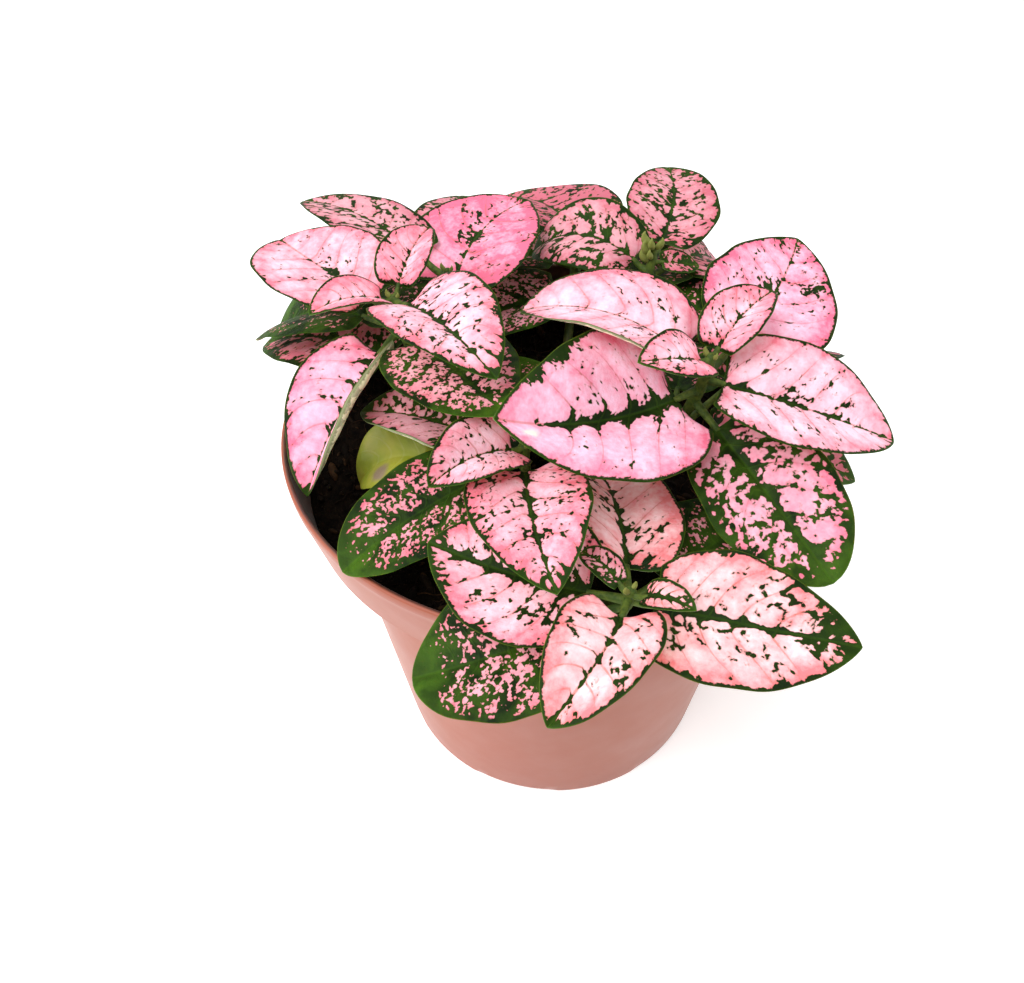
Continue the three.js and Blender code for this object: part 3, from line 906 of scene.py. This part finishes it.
def build_leaf(line, row, seed, curl=FLAT, pointed=POINTED_TIP):
    """Points, faces and the facts for the materials of one leaf with its stalk."""
    drop, turn, petiole, length, width = row[:5]
    petiole, length, width = petiole * MM, length * MM, width * MM
    heading, lift, fall, roll, sweep_turn, fold = (math.radians(v) for v in (turn, *row[5:]))
    start = line.at_drop(drop)
    grain = line.ahead(start)
    outward = np.array([math.cos(heading), math.sin(heading), 0.0])
    outward = unit(outward - grain * outward.dot(grain))
    seat = line.point(start) + outward * (STEM_RADIUS + STEM_GAP)
    base = leaf_frame(heading, lift, 0.0)
    centre = seat + base[0] * petiole

    rng = random.Random(seed)
    phase = [rng.uniform(0, FULL_TURN) for _ in range(8)]
    size = length / FULL_LENGTH
    tops, lows, spots, grids = [], [], [], []
    before, spot = 0.0, centre.copy()
    for i in range(BLADE_STEPS + 1):
        s = i / BLADE_STEPS
        t = 0.5 * (1 - math.cos(math.pi * s)) * 0.55 + 0.45 * s
        middle = (before + t) / 2
        step = leaf_frame(heading + sweep_turn * middle, blend_numbers(lift, fall, middle), 0.0)
        spot = spot + step[0] * (t - before) * length
        along, side, up = leaf_frame(heading + sweep_turn * t, blend_numbers(lift, fall, t), roll)
        half = max(blade_shape(t, pointed) * width / 2, BASE_HALF * (1 - t) + TIP_HALF)
        margins = np.where(SIGN > 0, margin_wave(t, *phase[:2]), margin_wave(t, *phase[2:4]))
        reach = half * margins
        open_up = min(t / 0.06, 1.0)
        veins = veins_along(t, phase)
        raised = relief(t, half, fold, size, phase, veins, open_up)
        rib = np.exp(-((ROW * half) / (RIB_SPREAD * size)) ** 2) * open_up * (1 - 0.7 * t)
        raised, offset, bend = curl_edges(t, curl, half, raised, ROW * reach)
        back = LOBE * length * (1 - t) ** 3 * open_up * OUT * OUT
        points = spot + np.outer(offset, side) + np.outer(raised, up) - np.outer(back, along)
        thick = blend_numbers(BASE_THICK, TIP_THICK, t) * MM * (1 - 0.55 * OUT ** 6)
        if i == BLADE_STEPS:
            thick = thick * TIP_PINCH
        normal = np.outer(np.cos(bend), up) - np.outer(SIGN * np.sin(bend), side)
        tops.append(points + normal * (thick - GROOVE * size * rib)[:, None])
        lows.append(points - normal * (thick + KEEL * size * rib)[:, None])
        spots.append(np.stack([np.full_like(OUT, t * length) - back, ROW * reach], axis=1))
        grids.append(np.stack([np.full_like(OUT, t), OUT, veins], axis=1))
        before = t

    tops, lows, spots, grids = (np.array(rows) for rows in (tops, lows, spots, grids))
    near = edge_distance(spots)
    top_count, low_count = tops[..., 0].size, lows[:, 1:-1, 0].size
    faces = blade_faces(BLADE_STEPS + 1, len(ROW))
    slim = min(1.0, 0.55 + 0.6 * size)
    radii = [blend_numbers(STALK_THICK, STALK_THIN, i / STALK_STEPS) * MM * slim
             for i in range(STALK_STEPS + 1)]
    path = stalk_path(seat, outward, base, centre, petiole)
    stalk_points, stalk_faces = sweep(path, radii, STALK_SIDES)
    faces += shifted(stalk_faces, top_count + low_count)
    stalk = len(stalk_points)

    def over_all(rows, width):
        """One list for the points on top, those below and the stalk's, which carry zeros."""
        below = rows[:, 1:-1].reshape(-1, width)
        return np.concatenate([rows.reshape(-1, width), below, np.zeros((stalk, width))])

    points = np.concatenate([tops.reshape(-1, 3), lows[:, 1:-1].reshape(-1, 3), stalk_points])
    place = over_all(spots, 2) / MM
    facts = {"place": np.column_stack([place, np.full(len(place), seed * SEED_STEP)]),
             "grid": over_all(grids, 3),
             "edge": over_all(near.reshape(len(tops), -1, 1), 1)[:, 0] / MM,
             "under": np.concatenate([np.zeros(top_count), np.ones(low_count), np.zeros(stalk)]),
             "spacing": length / VEINS / MM, "stalk_faces": len(stalk_faces)}
    return points, faces, facts


sample = build_leaf(LINES["right"], PLAN["right"][2][4], 1)
print("one leaf:", len(sample[0]), "points,", len(sample[1]), "faces")

# %% [markdown]
# ## The pattern of a leaf
#
# The pink of this plant is where the leaf's surface cells hold no green. It shows through in patches,
# so one field of smooth random numbers and one limit give the whole range: a low limit leaves a few
# green flecks on pink, a high one leaves pink dots on green. The limit rises towards the margin and the
# midrib, where green stays longest. Veins are lines where the vein count is whole.
#
# Five groups make it: the flecks, the lines of the veins, where it is green, the colour, and the fine
# skin. All leaf materials share them, so the pattern is tuned in one place. They read what the mesh
# carries at each point: its place, its share of the way along and out, and how far off the margin is.

# %% Group: the field of flecks
# Distance between side veins in millimetres, on the smallest leaves and on full ones.
SMALL_TO_FULL = (1.5, 4.5)
nodes, given, out = new_group(
    "fleck_field", {"Fleck size": 1.0, "Streak": 0.6, "Cluster": 0.5, "Grain": 0.5},
    {"Field": "Float", "Soft": "Float"})
x, y, seed_number = nodes.facts("leaf_place")
veins = nodes.facts("leaf_grid")[2]
spacing = nodes.facts("leaf_size")[0]
slant = nodes.times(nodes.minus(nodes.times(veins, spacing), x), given["Grain"])
fleck_size = nodes.times(given["Fleck size"], nodes.ramp(spacing, *SMALL_TO_FULL, 0.6, 1.0))
u = nodes.over(nodes.plus(x, slant), fleck_size)
v = nodes.over(nodes.times(y, given["Streak"]), fleck_size)
spot = nodes.point(u, v, seed_number)
fleck = nodes.ramp(nodes.noise(spot, 0.85, 1.5, 0.5, 0.2), 0.27, 0.73)
cells = nodes.add("ShaderNodeTexVoronoi", {"Vector": nodes.point(x, y, seed_number), "Scale": 2.6})
jag = nodes.add("ShaderNodeSeparateXYZ", {0: cells.outputs["Color"]}).outputs[0]
crowd = nodes.ramp(nodes.noise(spot, 0.22, 1.0, 0.5), 0.3, 0.7, -0.5, 0.5)
field = nodes.math("MULTIPLY_ADD", crowd, given["Cluster"], fleck)
field = nodes.plus(field, nodes.ramp(jag, 0.0, 1.0, -0.065, 0.065))
soft = nodes.noise(nodes.point(x, y, seed_number), 0.2, 2.0, 0.55, 0.5)
nodes.put(out, {"Field": field, "Soft": nodes.ramp(soft, 0.3, 0.7)})
print("group fleck_field is ready")

# %% Group: the lines of the veins
nodes, given, out = new_group(
    "vein_lines", {"Side width": 0.25, "Rib width": 0.35},
    {"Side": "Float", "Rib": "Float", "Near": "Float"})
x, y, seed_number = nodes.facts("leaf_place")
t, a, veins = nodes.facts("leaf_grid")
spacing = nodes.facts("leaf_size")[0]
off = nodes.math("ABSOLUTE", nodes.minus(veins, nodes.math("ROUND", veins)))
gap = nodes.times(off, spacing)
narrow = nodes.times(given["Side width"], nodes.ramp(a, 0.0, 1.0, 1.0, 0.35))
side = nodes.ramp(nodes.over(gap, narrow), 0.5, 1.3, 1.0, 0.0, smooth=True)
fade = nodes.times(nodes.ramp(a, 0.55, 0.95, 1.0, 0.0), nodes.ramp(t, 0.68, 0.82, 1.0, 0.0))
worn = nodes.ramp(nodes.noise(nodes.point(x, y, seed_number), 0.5, 2.0), 0.35, 0.6, 0.45, 1.0)
fade = nodes.times(fade, worn)
rib_gap = nodes.over(nodes.math("ABSOLUTE", y), given["Rib width"])
rib = nodes.ramp(rib_gap, 0.5, 1.2, 1.0, 0.0, smooth=True)
near = nodes.ramp(off, 0.0, 0.5, 1.0, 0.0)
nodes.put(out, {"Side": nodes.times(side, fade), "Rib": rib, "Near": near})
print("group vein_lines is ready")

# %% Group: where the leaf is green
nodes, given, out = new_group(
    "green_share",
    {"Field": 0.5, "Near vein": 0.0, "Cover": 0.1, "Margin": 1.3, "Margin line": 0.35, "Rib": 1.5,
     "Tip": 0.2, "Vein green": 0.14},
    {"Green": "Float", "Rim": "Float", "Halo": "Float"})
x, y, seed_number = nodes.facts("leaf_place")
t = nodes.facts("leaf_grid")[0]
edge, push = nodes.facts("leaf_edge")[::2]
more, rib_more = nodes.facts("leaf_tone")[1:]
spacing = nodes.facts("leaf_size")[0]
cover = nodes.plus(nodes.plus(given["Cover"], more), push)
margin = nodes.times(given["Margin"], nodes.ramp(spacing, *SMALL_TO_FULL, 0.45, 1.0))
by_margin = nodes.ramp(nodes.over(edge, margin), 0.15, 1.0, 0.55, 0.0)
near = nodes.math("POWER", given["Near vein"], 4.0)
flame = nodes.math("MULTIPLY_ADD", near, 1.2, 0.5)
rib_width = nodes.times(nodes.times(given["Rib"], rib_more), flame)
rib_width = nodes.times(rib_width, nodes.ramp(t, 0.1, 0.95, 1.0, 0.3))
rib_near = nodes.over(nodes.math("ABSOLUTE", y), nodes.math("MAXIMUM", rib_width, 0.02))
rib_power = nodes.ramp(rib_more, 0.3, 1.6, 0.35, 1.2)
by_rib = nodes.times(nodes.minus(1.0, nodes.ramp(rib_near, 0.2, 1.6)), rib_power)
by_vein = nodes.times(near, given["Vein green"])
by_tip = nodes.times(nodes.ramp(t, 0.8, 1.0), given["Tip"])
total = nodes.plus(nodes.plus(cover, by_margin), nodes.plus(by_rib, by_tip))
over = nodes.minus(nodes.plus(total, by_vein), given["Field"])
mask = nodes.ramp(over, -0.04, 0.04, smooth=True)
teeth = nodes.ramp(nodes.noise(nodes.point(x, y, seed_number), 1.6, 2.0, 0.6), 0.3, 0.7, -0.2, 0.2)
ragged = nodes.plus(edge, teeth)
line = nodes.ramp(nodes.over(ragged, given["Margin line"]), 0.75, 1.3, 1.0, 0.0, smooth=True)
halo = nodes.ramp(over, -0.2, -0.02, smooth=True)
nodes.put(out, {"Green": nodes.math("MAXIMUM", mask, line), "Rim": line, "Halo": halo})
print("group green_share is ready")

# %% Group: colour of a leaf
SPOT_CREAM = (0.97, 0.9, 0.7, 1)
nodes, given, out = new_group(
    "leaf_colour",
    {"Green": 0.0, "Rim": 0.0, "Halo": 0.0, "Side": 0.0, "Rib": 0.0, "Near vein": 0.0, "Soft": 0.5,
     "Pale pink": (0.95, 0.62, 0.66, 1.0), "Deep pink": (0.78, 0.22, 0.36, 1.0),
     "Vein": (0.45, 0.14, 0.12, 1.0), "Vein share": 0.5,
     "Dark green": (0.02, 0.045, 0.022, 1.0), "Light green": (0.09, 0.2, 0.04, 1.0), "Green life": 0.3,
     "Back": (0.96, 0.92, 0.64, 1.0)},
    {"Color": "Color"})
x, y, seed_number = nodes.facts("leaf_place")
t = nodes.facts("leaf_grid")[0]
edge, under = nodes.facts("leaf_edge")[:2]
pale = nodes.facts("leaf_tone")[0]
spacing, cream_spot = nodes.facts("leaf_size")[:2]
inner = nodes.ramp(edge, 0.3, 4.5, -0.4, 0.15)
# Painted light and shade of the quilted blade: paler on the puffs between the side veins, deeper pink next
# to them, weaker on small leaves.
close = nodes.math("POWER", given["Near vein"], 2.5)
pillow_light_and_shade = nodes.times(nodes.ramp(close, 0.0, 1.0, 0.08, -0.18), nodes.ramp(spacing, 2.5, 5.5, 0.35, 1.0))
dust = nodes.ramp(nodes.noise(nodes.point(x, y, seed_number), 0.9, 4.0, 0.6), 0.3, 0.7, -0.22, 0.22)
share = nodes.plus(nodes.plus(pale, inner), pillow_light_and_shade)
share = nodes.plus(share, dust)
share = nodes.plus(share, nodes.ramp(given["Soft"], 0.0, 1.0, -0.27, 0.27), clamp=True)
pink = nodes.mix(share, given["Deep pink"], given["Pale pink"])
drawn = nodes.times(nodes.math("MAXIMUM", given["Side"], given["Rib"]), given["Vein share"])
pink = nodes.mix(drawn, pink, given["Vein"])
pink = nodes.mix(nodes.times(given["Halo"], 0.4), pink, given["Vein"])
life = nodes.times(given["Green life"], nodes.ramp(given["Soft"], 0.2, 0.8))
tip_life = nodes.times(nodes.ramp(t, 0.7, 1.0), given["Green life"])
# A thin lighter green line at the very margin: partly the margin's own colour, partly a painted highlight
# for the light its fine hairs catch.
rim_highlight = nodes.ramp(edge, 0.05, 0.2, 0.45, 0.0)
vein_life = nodes.times(nodes.math("MAXIMUM", given["Side"], given["Rib"]), 0.13)
life = nodes.plus(nodes.plus(life, tip_life), nodes.plus(rim_highlight, vein_life), clamp=True)
green = nodes.mix(life, given["Dark green"], given["Light green"])
top = nodes.mix(given["Green"], pink, green)
back_green = nodes.mix(0.5, given["Dark green"], given["Light green"])
back = nodes.mix(nodes.times(given["Green"], 0.45), given["Back"], back_green)
back = nodes.mix(nodes.times(given["Rim"], 0.5), back, given["Light green"])
# The listed pale cream spots cover the top colour.
top = nodes.mix(cream_spot, top, SPOT_CREAM)
nodes.put(out, {"Color": nodes.mix(under, top, back)})
print("group leaf_colour is ready")

# %% Group: the fine skin of a leaf
nodes, given, out = new_group(
    "leaf_skin", {"Strength": 0.25, "Side": 0.0}, {"Normal": "Vector", "Roughness": "Float"})
x, y, seed_number = nodes.facts("leaf_place")
spot = nodes.point(x, y, seed_number)
cell = nodes.noise(spot, 3.2, 3.0, 0.6)
pucker = nodes.noise(spot, 0.9, 2.0, 0.5)
height = nodes.math("MULTIPLY_ADD", cell, 0.4, pucker)
height = nodes.minus(height, nodes.times(given["Side"], 0.5))
nodes.put(out, {
    "Normal": nodes.bump(height, given["Strength"], 0.5 * MM),
    "Roughness": nodes.ramp(cell, 0.3, 0.7, 0.42, 0.62)})
print("group leaf_skin is ready")

# %% [markdown]
# ## Leaf materials
#
# Young leaves near the tips are palest, and cream ones are warmer still. Leaves in full size are clear
# pink with green blotches on the midrib. Those in the shade below turn speckled, then patched, then
# mostly green with pink dots. Each is one material that places the same groups with its own values,
# and one old leaf low down has lost its pattern.

# %% Leaf materials
VALUES = ("Fleck size", "Streak", "Cluster", "Grain", "Cover", "Margin", "Margin line", "Rib", "Tip",
          "Vein green", "Vein share", "Green life")
WARM_VEIN = (0.5, 0.14, 0.09, 1)
DARK, FRESH = (0.005, 0.0155, 0.0015, 1), (0.062, 0.143, 0.008, 1)
# For each kind: the values named above, in that order, then its palest and its deepest pink.
KINDS = {
    "young": ((0.9, 0.9, 0.5, 0.5, 0.02, 1.1, 0.5, 1.0, 0.2, 0.14, 0.5, 0.15),
              (0.95, 0.64, 0.75, 1), (0.8, 0.19, 0.26, 1)),
    "cream": ((1.2, 0.95, 0.5, 0.35, 0.02, 1.1, 0.5, 1.0, 0.2, 0.14, 0.6, 0.15),
              (0.95, 0.7, 0.73, 1), (0.8, 0.21, 0.23, 1)),
    "pink": ((1.0, 0.9, 0.5, 0.5, 0.03, 1.2, 0.6, 1.5, 0.25, 0.14, 0.5, 0.15),
             (0.95, 0.6, 0.76, 1), (0.82, 0.16, 0.27, 1)),
    "speckled": ((1.1, 0.8, 0.5, 0.4, 0.25, 1.4, 0.5, 1.3, 0.25, 0.2, 0.4, 0.25),
                 (0.73, 0.38, 0.43, 1), (0.58, 0.145, 0.2, 1)),
    "dotted": ((0.72, 0.9, 0.3, 0.15, 0.5, 2.0, 0.8, 2.4, 0.7, 0.3, 0.2, 0.4),
               (0.84, 0.42, 0.5, 1), (0.65, 0.16, 0.22, 1)),
    "patched": ((1.05, 0.9, 0.5, 0.2, 0.38, 1.6, 0.8, 2.0, 0.7, 0.3, 0.3, 0.4),
                (0.93, 0.5, 0.62, 1), (0.76, 0.17, 0.27, 1)),
}


def leaf_material(name, values, pale_pink, deep_pink):
    material, nodes, shader = new_material(name)
    told = dict(zip(VALUES, values))

    def pick(*labels):
        return {label: told[label] for label in labels}

    field = nodes.group("fleck_field", pick("Fleck size", "Streak", "Cluster", "Grain"))
    lines = nodes.group("vein_lines", {"Side width": 0.24, "Rib width": 0.28})
    green = nodes.group("green_share", {
        "Field": field["Field"], "Near vein": lines["Near"],
        **pick("Cover", "Margin", "Margin line", "Rib", "Tip", "Vein green")})
    colour = nodes.group("leaf_colour", {
        **{label: green[label] for label in ("Green", "Rim", "Halo")},
        "Side": lines["Side"], "Rib": lines["Rib"], "Near vein": lines["Near"], "Soft": field["Soft"],
        "Pale pink": pale_pink, "Deep pink": deep_pink, "Vein": WARM_VEIN,
        "Dark green": DARK, "Light green": FRESH, **pick("Vein share", "Green life")})
    skin = nodes.group("leaf_skin", {"Side": lines["Side"], "Strength": 0.35})
    nodes.put(shader, {
        "Base Color": colour["Color"], "Normal": skin["Normal"], "Roughness": skin["Roughness"],
        "Specular IOR Level": 0.08, **glow_inside(0.25, (1.0, 0.5, 0.6), 0.5 * MM)})
    return material


LEAF_PAINT = {kind: leaf_material(kind + "_leaf", *facts) for kind, facts in KINDS.items()}
print("leaf materials:", list(LEAF_PAINT))

# %% An old plain leaf, and the leaf stalks
FLESH_GREEN, FLESH_YELLOW = (0.29, 0.36, 0.01, 1), (0.47, 0.46, 0.055, 1)
FLESH_VEIN, DRY_SPOT = (0.8, 0.76, 0.38, 1), (0.36, 0.26, 0.17, 1)
plain, nodes, shader = new_material("old_plain_leaf")
lines = nodes.group("vein_lines", {"Side width": 0.3, "Rib width": 0.5})
field = nodes.group("fleck_field", {"Fleck size": 3.0, "Streak": 0.9})
skin = nodes.group("leaf_skin", {"Side": lines["Side"], "Strength": 0.3})
push = nodes.facts("leaf_edge")[2]
flesh = nodes.mix(field["Soft"], FLESH_GREEN, FLESH_YELLOW)
flesh = nodes.mix(nodes.times(lines["Side"], 0.12), flesh, FLESH_VEIN)
spot_share = nodes.ramp(nodes.minus(push, nodes.times(field["Field"], 0.3)), 0.1, 0.4)
nodes.put(shader, {
    "Base Color": nodes.mix(spot_share, flesh, DRY_SPOT),
    "Normal": skin["Normal"], "Roughness": skin["Roughness"],
    **glow_inside(0.25, (0.8, 1.0, 0.3), 0.8 * MM)})
LEAF_PAINT["plain"] = plain

stalk_skin, nodes, shader = new_material("leaf_stalk")
mottle = nodes.noise(nodes.where(), 700.0, 2.0, 0.6)
nodes.put(shader, {
    "Base Color": nodes.mix(nodes.ramp(mottle, 0.35, 0.65), (0.03, 0.06, 0.008, 1), (0.09, 0.13, 0.018, 1)),
    "Roughness": 0.6, "Specular IOR Level": 0.2,
    "Normal": nodes.bump(mottle, 0.3, 0.2 * MM)})
print("materials in all:", len(bpy.data.materials))

# %% [markdown]
# ## How each leaf looks
#
# No two leaves are alike. For each, this list gives its kind, how pale it is, how much more green it
# has and how strong the green of its midrib is. Smaller lists name the few leaves whose edges curl,
# whose tips are blunt or whose blades are shorter, and the blots that are placed one by one.

# %% Leaf looks
LOOKS = {
    "left": [
        ("young", 0.45, 0.0, 0.5), ("young", 0.45, 0.02, 0.4), ("young", 0.45, -0.08, 0.5),
        ("young", 0.45, 0.12, 0.9), ("dotted", 0.3, 0.26, 0.8), ("speckled", 0.1, 0.15, 0.8),
        ("pink", 0.45, -0.04, 0.8), ("dotted", 0.5, -0.12, 0.7), ("dotted", 0.2, 0.15, 0.8),
    ],
    "right": [
        ("young", 0.5, 0.06, 0.6), ("young", 0.55, 0.06, 0.6), ("young", 0.52, -0.02, 0.5),
        ("young", 0.6, 0.0, 0.9), ("pink", 0.52, -0.05, 1.7), ("pink", 0.4, 0.0, 0.5),
        ("patched", 0.45, -0.03, 1.1), ("speckled", 0.2, 0.1, 0.9), ("speckled", 0.2, 0.1, 0.9),
        ("dotted", 0.2, 0.15, 0.8),
    ],
    "front": [
        ("speckled", 0.9, 0.16, 0.5), ("cream", 0.5, 0.2, 1.1), ("cream", 0.52, 0.04, 1.0),
        ("cream", 0.34, 0.12, 1.0), ("cream", 0.42, 0.2, 1.3), ("young", 0.42, 0.16, 2.2),
        ("dotted", 0.5, 0.0, 0.4), ("dotted", 0.2, 0.1, 0.8),
    ],
    "middle": [
        ("young", 0.62, 0.12, 0.6), ("young", 0.3, 0.18, 1.0), ("dotted", 0.25, 0.0, 1.0),
        ("speckled", 0.6, 0.0, 0.7), ("plain", 0.5, 0.0, 0.5), ("dotted", 0.2, 0.1, 0.8),
        ("pink", 0.5, 0.0, 0.5),
    ],
    "back_right": [
        ("speckled", 0.4, 0.02, 0.8), ("speckled", 0.3, 0.2, 0.6), ("speckled", 0.5, 0.08, 0.7),
        ("speckled", 0.2, 0.1, 0.8), ("dotted", 0.2, 0.1, 0.8), ("dotted", 0.2, 0.1, 0.8),
        ("dotted", 0.2, 0.15, 0.8),
    ],
    "back_left": [
        ("pink", 0.04, -0.02, 0.6), ("speckled", 0.6, 0.0, 0.6), ("speckled", 0.5, 0.05, 0.6),
        ("dotted", 0.2, 0.1, 0.8), ("dotted", 0.2, 0.15, 0.8),
    ],
    "back": [
        ("speckled", -0.42, 0.1, 0.7), ("dotted", 0.4, -0.05, 0.8), ("dotted", 0.2, 0.1, 0.8),
        ("dotted", 0.2, 0.15, 0.8),
    ],
}
# Edges that curl over: degrees at the left, at the right, and where the curl starts.
CURLS = {("left", 7): (150, 0, 0.76), ("right", 3): (70, 0, 0.8), ("middle", 4): (80, 0, 0.75),
         ("back_right", 3): (-40, 0, 0.4)}
# Listed blots: along, across, width in millimetres, and how much greener.
BLOTS = {
    ("left", 3): [(0.38, 0.0, 2.2, 0.5)],
    ("left", 5): [(0.95, 0.0, 8, 0.5)],
    ("left", 7): [(0.5, 0.9, 4, 0.3)],
    ("right", 4): [(0.35, 0.15, 3.0, 0.2), (0.6, 0.2, 3.0, 0.15)],
    ("right", 5): [(0.62, -0.8, 4, 0.8), (0.8, -0.5, 3, 0.8), (0.9, 0.0, 6, -1.5)],
    ("right", 6): [(0.45, 0.1, 2.5, 0.55), (0.6, -0.4, 4, 0.42), (0.75, -0.6, 3, 0.4)],
    ("front", 4): [(0.5, 0.6, 8, 0.2), (0.5, -0.5, 7, -0.1)],
    ("front", 5): [(0.95, 0.0, 7, 0.3)],
    ("front", 6): [(0.15, 0.4, 7, 0.25)],
    ("front", 7): [(0.97, 0.0, 7, 0.5)],
    ("middle", 5): [(0.5, 0.5, 2.2, 0.9)],
    ("back_left", 1): [(0.4, 0.1, 3.5, 0.6), (0.6, 0.3, 3, 0.3)],
}
# Leaves whose tip is rounder than the rest.
BLUNT_TIPS = {("right", 7): 0.55, ("middle", 3): 0.6, ("front", 7): 0.6, ("front", 1): 0.5,
              ("left", 5): 0.4, ("back_right", 3): 0.6, ("back_right", 1): 0.6,
              ("back", 4): 0.33, ("left", 3): 0.55}
# Blades that have stayed a little shorter than the plan.
SHORTER = {("left", 3): 0.93, ("left", 5): 0.86}
# Pale cream spots: along, across, half-width in millimetres.
CREAM_SPOTS = {("right", 5): [(0.84, 0.16, 0.5)]}


# %% Make the leaves
CREAM_STRETCH = 2.6


def finish_leaf(name, points, faces, facts, look, blots, cream_spots):
    """One leaf object with its two materials and all that they read at each point."""
    kind, *tones = look
    leaf = make_object(name, points, faces, LEAF_PAINT[kind])
    leaf.data.materials.append(stalk_skin)
    for polygon in leaf.data.polygons[-facts["stalk_faces"]:]:
        polygon.material_index = 1
    count = len(points)
    place = facts["place"]
    long_mm, wide_mm = place[:, 0].max(), np.abs(place[:, 1]).max()
    push, cream_spot = np.zeros(count), np.zeros(count)
    for along, across, reach, amount in blots:
        away = np.hypot(place[:, 0] - along * long_mm, place[:, 1] - across * wide_mm)
        push += amount * np.exp(-(away / reach) ** 2)
    for along, across, reach in cream_spots:
        away = np.hypot((place[:, 0] - along * long_mm) / CREAM_STRETCH, place[:, 1] - across * wide_mm)
        cream_spot = np.maximum(cream_spot, np.clip(1.6 - away / reach, 0, 1))
    carry(leaf, "leaf_place", place)
    carry(leaf, "leaf_grid", facts["grid"])
    carry(leaf, "leaf_edge", np.column_stack([facts["edge"], facts["under"], push]))
    carry(leaf, "leaf_tone", np.tile(tones, (count, 1)))
    carry(leaf, "leaf_size", np.column_stack([np.full(count, facts["spacing"]), cream_spot, np.zeros(count)]))
    return leaf


made = 0
for stem_name, (_, _, leaves) in PLAN.items():
    for i, row in enumerate(leaves):
        key = (stem_name, i + 1)
        made += 1
        row = list(row)
        row[3] *= SHORTER.get(key, 1.0)
        points, faces, facts = build_leaf(LINES[stem_name], row, made, CURLS.get(key, FLAT),
                                          BLUNT_TIPS.get(key, POINTED_TIP))
        leaf = finish_leaf(f"{stem_name}_blade_{i + 1}", points, faces, facts, LOOKS[stem_name][i],
                           BLOTS.get(key, []), CREAM_SPOTS.get(key, []))
        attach(leaf, "root")
        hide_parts(f"{stem_name}_leaf_{i + 1}")
print("leaves made:", made)
